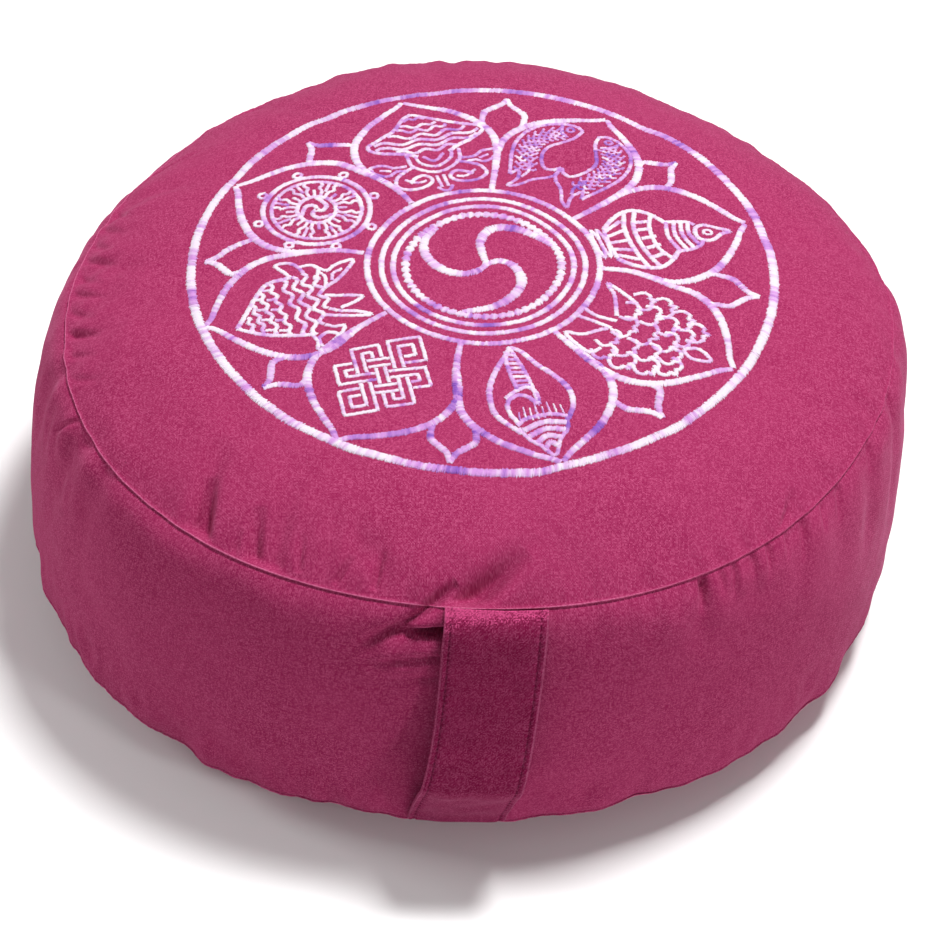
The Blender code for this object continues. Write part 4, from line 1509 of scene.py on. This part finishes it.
def conch(azimuth):
    """A conch with a ribbed mouth and a wound point."""
    drawing = Pattern(azimuth)
    drawing.curves(
        (
            1.8, (2.0, 49.2), (-1.6, 53), (-5, 60.6), (-10, 69.6), (-13, 78.6), (-12.2, 86),
            (-8.4, 92.6),
        ),
        (
            1.8, (2.0, 49.2), (5.4, 54), (11.0, 61), (15.6, 69), (17.8, 77.4), (17.2, 85.6),
            (10.6, 95.6),
        ),
        swell=0.2,
    )
    drawing.curves((
        1.5, (-8.0, 91.6), (-6.6, 97.4), (-2.6, 101.4), (1.4, 108.2), (5.0, 102.4), (8.8, 98.4),
        (11.2, 92.8),
    ))
    for level, half in ((103.0, 2.4), (99.8, 5.0), (96.6, 7.2), (93.4, 8.6)):
        rib = ((1.4 - half, level + 0.9), (1.4, level - 1.6), (1.4 + half, level + 0.9))
        drawing.curve(rib, 2.2)
    drawing.curves((1.7, (-8.4, 91.4), (-3, 89), (2, 88.4), (7.4, 89), (11.4, 91.6)))
    for index, length in enumerate((5.2, 6.0, 7.4, 5.6, 7.8, 6.2, 7.2, 5.0)):
        x = -7.4 + index * 2.45
        top = 90.4 - 0.03 * (10 - (x - 1.4) ** 2 * 0.12)
        drawing.add(((x, top), (x * 0.94 - 0.2, top - length)), 1.4, taper=0.6)
    drawing.curves(
        (
            1.7, (10.2, 91), (12.4, 85.4), (11.6, 79.4), (7.2, 76.4), (3.2, 78.4), (0.6, 83.0),
            (-0.2, 77), (2.2, 73.2), (6.8, 74.0), (12.0, 77.2),
        ),
        (1.5, (0.4, 82.8), (0.2, 72), (0.8, 60), (2.2, 50.6)),
        (1.5, (6.0, 74.0), (6.2, 64), (5.6, 57), (4.4, 51.4)),
    )
    for index in range(8):
        level = 72.4 - index * 2.6
        drawing.add(((0.4 + index * 0.1, level), (6.0 - index * 0.15, level - 1.2)), 1.4)
    return drawing


def lotus(azimuth):
    """A full lotus of pointed petals on its stem."""
    drawing = Pattern(azimuth)
    bud = ((2.6, 92), (-0.6, 95.6), (-0.4, 99.4), (2.0, 103.4), (4.6, 99.4), (5.0, 95.6))
    drawing.curve(bud, 1.5, closed=True)
    petals = (
        (-10.4, 96.4, -24, 9.0, 5.0), (16.6, 96.0, 26, 8.6, 4.8),
        (-3.8, 93.6, -8, 7.4, 4.6), (9.8, 93.8, 12, 7.4, 4.4),
        (-14.4, 88.2, -28, 9.0, 5.2), (21.4, 88.6, 30, 8.8, 4.6), (2.6, 89.4, 2, 8.4, 5.4),
        (-7.2, 85.2, -12, 8.0, 5.0), (12.6, 85.6, 14, 8.0, 5.0),
        (-18.2, 78.4, -34, 9.0, 5.0), (23.6, 79.2, 34, 9.0, 4.8), (2.4, 80.6, 0, 8.6, 6.0),
        (-9.6, 76.8, -12, 8.4, 5.2), (14.4, 77.2, 14, 8.4, 5.2),
        (-17.4, 69.6, -36, 8.4, 4.6), (22.6, 70.2, 38, 8.4, 4.4), (2.6, 71.6, 2, 8.4, 5.6),
        (-7.6, 68.2, -12, 7.6, 4.8), (12.4, 68.4, 14, 7.6, 4.8),
    )
    outline = (
        (-0.9, -1.0), (-1.08, -0.5), (-0.6, -0.2), (-0.28, -0.3), (0, 0), (0.28, -0.3),
        (0.6, -0.2), (1.08, -0.5), (0.9, -1.0),
    )
    for x, y, turn, high, wide in petals:
        side = heading(-radians(turn))
        out = left_of(side)
        edge = [(x, y) + side * wide * across + out * high * along for across, along in outline]
        drawing.curve(edge, 1.45)
    drawing.curves(
        (1.6, (-12, 64), (-14.6, 56), (-15.8, 48.8), (-11.8, 54), (-6, 57.8), (-1.4, 60.8)),
        (1.6, (18, 64), (22.6, 61.6), (21, 55), (17.2, 48), (14.8, 54), (9.6, 58), (6.4, 61)),
        (1.5, (1.0, 62), (2.6, 54), (1.6, 47.4)),
        (1.5, (5.6, 62), (5.8, 54), (6.6, 47.8)),
    )
    return drawing


def medallion_rings():
    """The rings of the middle, the beaded one among them."""
    drawing = Pattern(middle=MEDALLION_MIDDLE)
    for radius, width in ((46.1, 2.3), (40.4, 2.1), (35.8, 2.1)):
        drawing.ring((0, 0), radius, width)
    drawing.ring((0, 0), 30.9, 2.4, beads=3.3)
    return drawing


def whirl():
    """Three arms that turn from the middle into the beaded ring."""
    drawing = Pattern()
    drawing.curves(
        (
            2.2, (2.8, 1.1), (0.8, 8), (0, 14.4), (3.0, 21.2), (8.9, 23.8), (16.6, 22.2),
            (23.6, 18), (29.6, 12.6),
        ),
        (
            2.2, (2.4, 1.0), (7.8, 3.2), (13.4, 0.2), (16.6, -7.4), (15.4, -14.6), (10.8, -21),
            (3.2, -25.8), (-6.4, -28.4),
        ),
        (
            2.2, (3.2, 1.4), (-1.2, -3.4), (-7.2, -5.2), (-14.4, -2.8), (-20, 3.0), (-22.4, 9.2),
            (-21.8, 16), (-17.6, 23),
        ),
        swell=0.75,
    )
    return drawing


def outer_ring():
    """The broad ring round the whole pattern."""
    drawing = Pattern(middle=RING_MIDDLE)
    drawing.ring((0, 0), 115.6, 3.35)
    return drawing


# The groups of the pattern in the order in which they are stitched, then the symbols, one in each
# large petal, with how violet their thread is.
GROUPS = (
    (outer_ring, RING_DYE), (medallion_rings, MIDDLE_DYE), (whirl, (0.37,)),
    (large_petals, PETAL_DYE), (small_petals, PETAL_DYE),
)
SYMBOLS = (
    (vase, 0.29), (fishes, 0.58), (parasol, 0.42), (wheel, 0.33), (banner, 0.24), (knot, 0.25),
    (conch, 0.47), (lotus, 0.27),
)


# Operators


class ZAFU_OT_stage(Operator):
    """Set up the pale floor, the soft lights and the camera"""

    bl_idname = "zafu.stage"
    bl_label = "Set the stage"

    def execute(self, context):
        stage = context.scene.zafu_stage
        bpy.ops.object.select_all(action="DESELECT")
        bpy.ops.mesh.primitive_plane_add(size=stage.floor_size, location=(0, 0, -0.0002))
        floor = context.object
        floor.name = "floor"
        paper, _, shader = new_material("floor_paper")
        shader["Base Color"].default_value = stage.floor_colour
        shader["Roughness"].default_value = 0.9
        floor.data.materials.append(paper)
        right = CAMERA_RIGHT * cos(CAMERA_ROLL) + CAMERA_UP * sin(CAMERA_ROLL)
        up = CAMERA_UP * cos(CAMERA_ROLL) - CAMERA_RIGHT * sin(CAMERA_ROLL)
        view = Matrix((right, up, -CAMERA_FORWARD)).transposed().to_4x4()
        view.translation = CAMERA_PLACE
        bpy.ops.object.camera_add()
        camera = context.object
        camera.name = "camera"
        camera.matrix_world = view
        camera.data.sensor_fit = "HORIZONTAL"
        camera.data.sensor_width = 36
        camera.data.lens = stage.lens
        camera.data.clip_end = 20
        context.scene.camera = camera
        for name, (place, power, width) in LIGHTS.items():
            bpy.ops.object.light_add(type="AREA", location=place)
            light = context.object
            light.name = name
            light.data.energy = getattr(stage, power)
            light.data.size = width
            light.rotation_euler = (-Vector(place)).to_track_quat("-Z", "Y").to_euler()
        world = context.scene.world or bpy.data.worlds.new("surround")
        context.scene.world = world
        world.use_nodes = True
        nodes = world.node_tree.nodes
        background = nodes.get("Background") or nodes.new("ShaderNodeBackground")
        background.inputs[0].default_value = (1.0, 0.99, 0.98, 1.0)
        background.inputs[1].default_value = stage.surround
        context.scene.view_settings.view_transform = "Standard"
        return {"FINISHED"}


class ZAFU_OT_cover(Operator):
    """Sew and fill the cover: top panel, side band and bottom panel"""

    bl_idname = "zafu.cover"
    bl_label = "Filled cover"

    def execute(self, context):
        cover = context.scene.zafu_cover
        item = cover_mesh(cover)
        material = cloth_material("panel_cloth", cover.colour, cover.thread, 0.0, SEAM_LINE)
        dress(item, material, "filled_cushion")
        return {"FINISHED"}


class ZAFU_OT_strap(Operator):
    """Hang the folded carry strap between the seams and topstitch it"""

    bl_idname = "zafu.strap"
    bl_label = "Carry strap"

    def execute(self, context):
        strap = context.scene.zafu_strap
        item, frames = strap_object(context.scene.zafu_cover, strap)
        material = cloth_material(
            "strap_twill", strap.colour, strap.thread, 1.0, EDGE_LINE, strap.rubbed
        )
        dress(item, material, "carry_handle")
        length = frames[2][-1]
        count = int(length / strap.stitch_length)
        run = np.tile((np.arange(count) + 0.5) * length / count, 2)
        aside = np.repeat([-1.0, 1.0], count) * (strap.width / 2 - strap.stitch_inset)
        lift = np.full(2 * count, strap.thickness / 2 - TOPSTITCH_SUNK)
        middles = strap_place(strap, frames, run, aside, lift)
        along = unit(strap_place(strap, frames, run + LOOK_AHEAD, aside, lift) - middles)
        out = unit(strap_place(strap, frames, run, aside, lift + 0.001) - middles)
        sewing = stitch_object(
            "strap_topstitching",
            model_stitch(),
            middles,
            along * strap.stitch_length * TOPSTITCH_HALF,
            np.cross(out, along) * TOPSTITCH_WIDTH,
            out * TOPSTITCH_HEIGHT,
            np.random.default_rng(21).uniform(0.2, 0.9, 2 * count),
        )
        dress(sewing, topstitch_material(strap.colour))
        return {"FINISHED"}


class ZAFU_OT_embroidery(Operator):
    """Stitch the satin lines of the pattern onto the top panel"""

    bl_idname = "zafu.embroidery"
    bl_label = "Embroidery"

    def execute(self, context):
        thread = context.scene.zafu_thread
        cover = bpy.data.objects.get("cushion_cover")
        if cover is None:
            raise RuntimeError("make the cover before its embroidery")
        surface = BVHTree.FromPolygons(
            [vert.co for vert in cover.data.vertices],
            [face.vertices for face in cover.data.polygons],
        )
        stitch = model_stitch()
        material = embroidery_material(thread)
        groups = [(draw.__name__, draw(), dye) for draw, dye in GROUPS]
        for (draw, level), azimuth in zip(SYMBOLS, PETAL_MIDDLES):
            groups.append((draw.__name__, draw(azimuth), (level,)))
        for seed, (name, drawing, dye) in enumerate(groups):
            item = lay_pattern("stitched_" + name, drawing, stitch, thread, surface, dye, seed)
            dress(item, material)
        return {"FINISHED"}


class ZAFU_PT_sidebar(Panel):
    """Lists the pieces of the cushion"""

    bl_label = "Zafu cushion"
    bl_space_type = "VIEW_3D"
    bl_region_type = "UI"
    bl_category = "Zafu"

    def draw(self, context):
        for operator in OPERATORS:
            self.layout.operator(operator.bl_idname)


OPERATORS = (ZAFU_OT_stage, ZAFU_OT_cover, ZAFU_OT_strap, ZAFU_OT_embroidery)
SETTINGS = {
    "zafu_cover": CoverSettings,
    "zafu_strap": StrapSettings,
    "zafu_thread": EmbroiderySettings,
    "zafu_stage": StageSettings,
}


def register():
    """Add the settings, the operators and the sidebar panel."""
    for name, kind in SETTINGS.items():
        bpy.utils.register_class(kind)
        setattr(bpy.types.Scene, name, PointerProperty(type=kind))
    for kind in (*OPERATORS, ZAFU_PT_sidebar):
        bpy.utils.register_class(kind)


def unregister():
    """Take them away again."""
    for kind in (ZAFU_PT_sidebar, *reversed(OPERATORS)):
        bpy.utils.unregister_class(kind)
    for name, kind in SETTINGS.items():
        delattr(bpy.types.Scene, name)
        bpy.utils.unregister_class(kind)


def main():
    """Build every piece in order."""
    register()
    bpy.ops.zafu.stage()
    bpy.ops.zafu.cover()
    bpy.ops.zafu.strap()
    bpy.ops.zafu.embroidery()


if __name__ == "__main__":
    main()
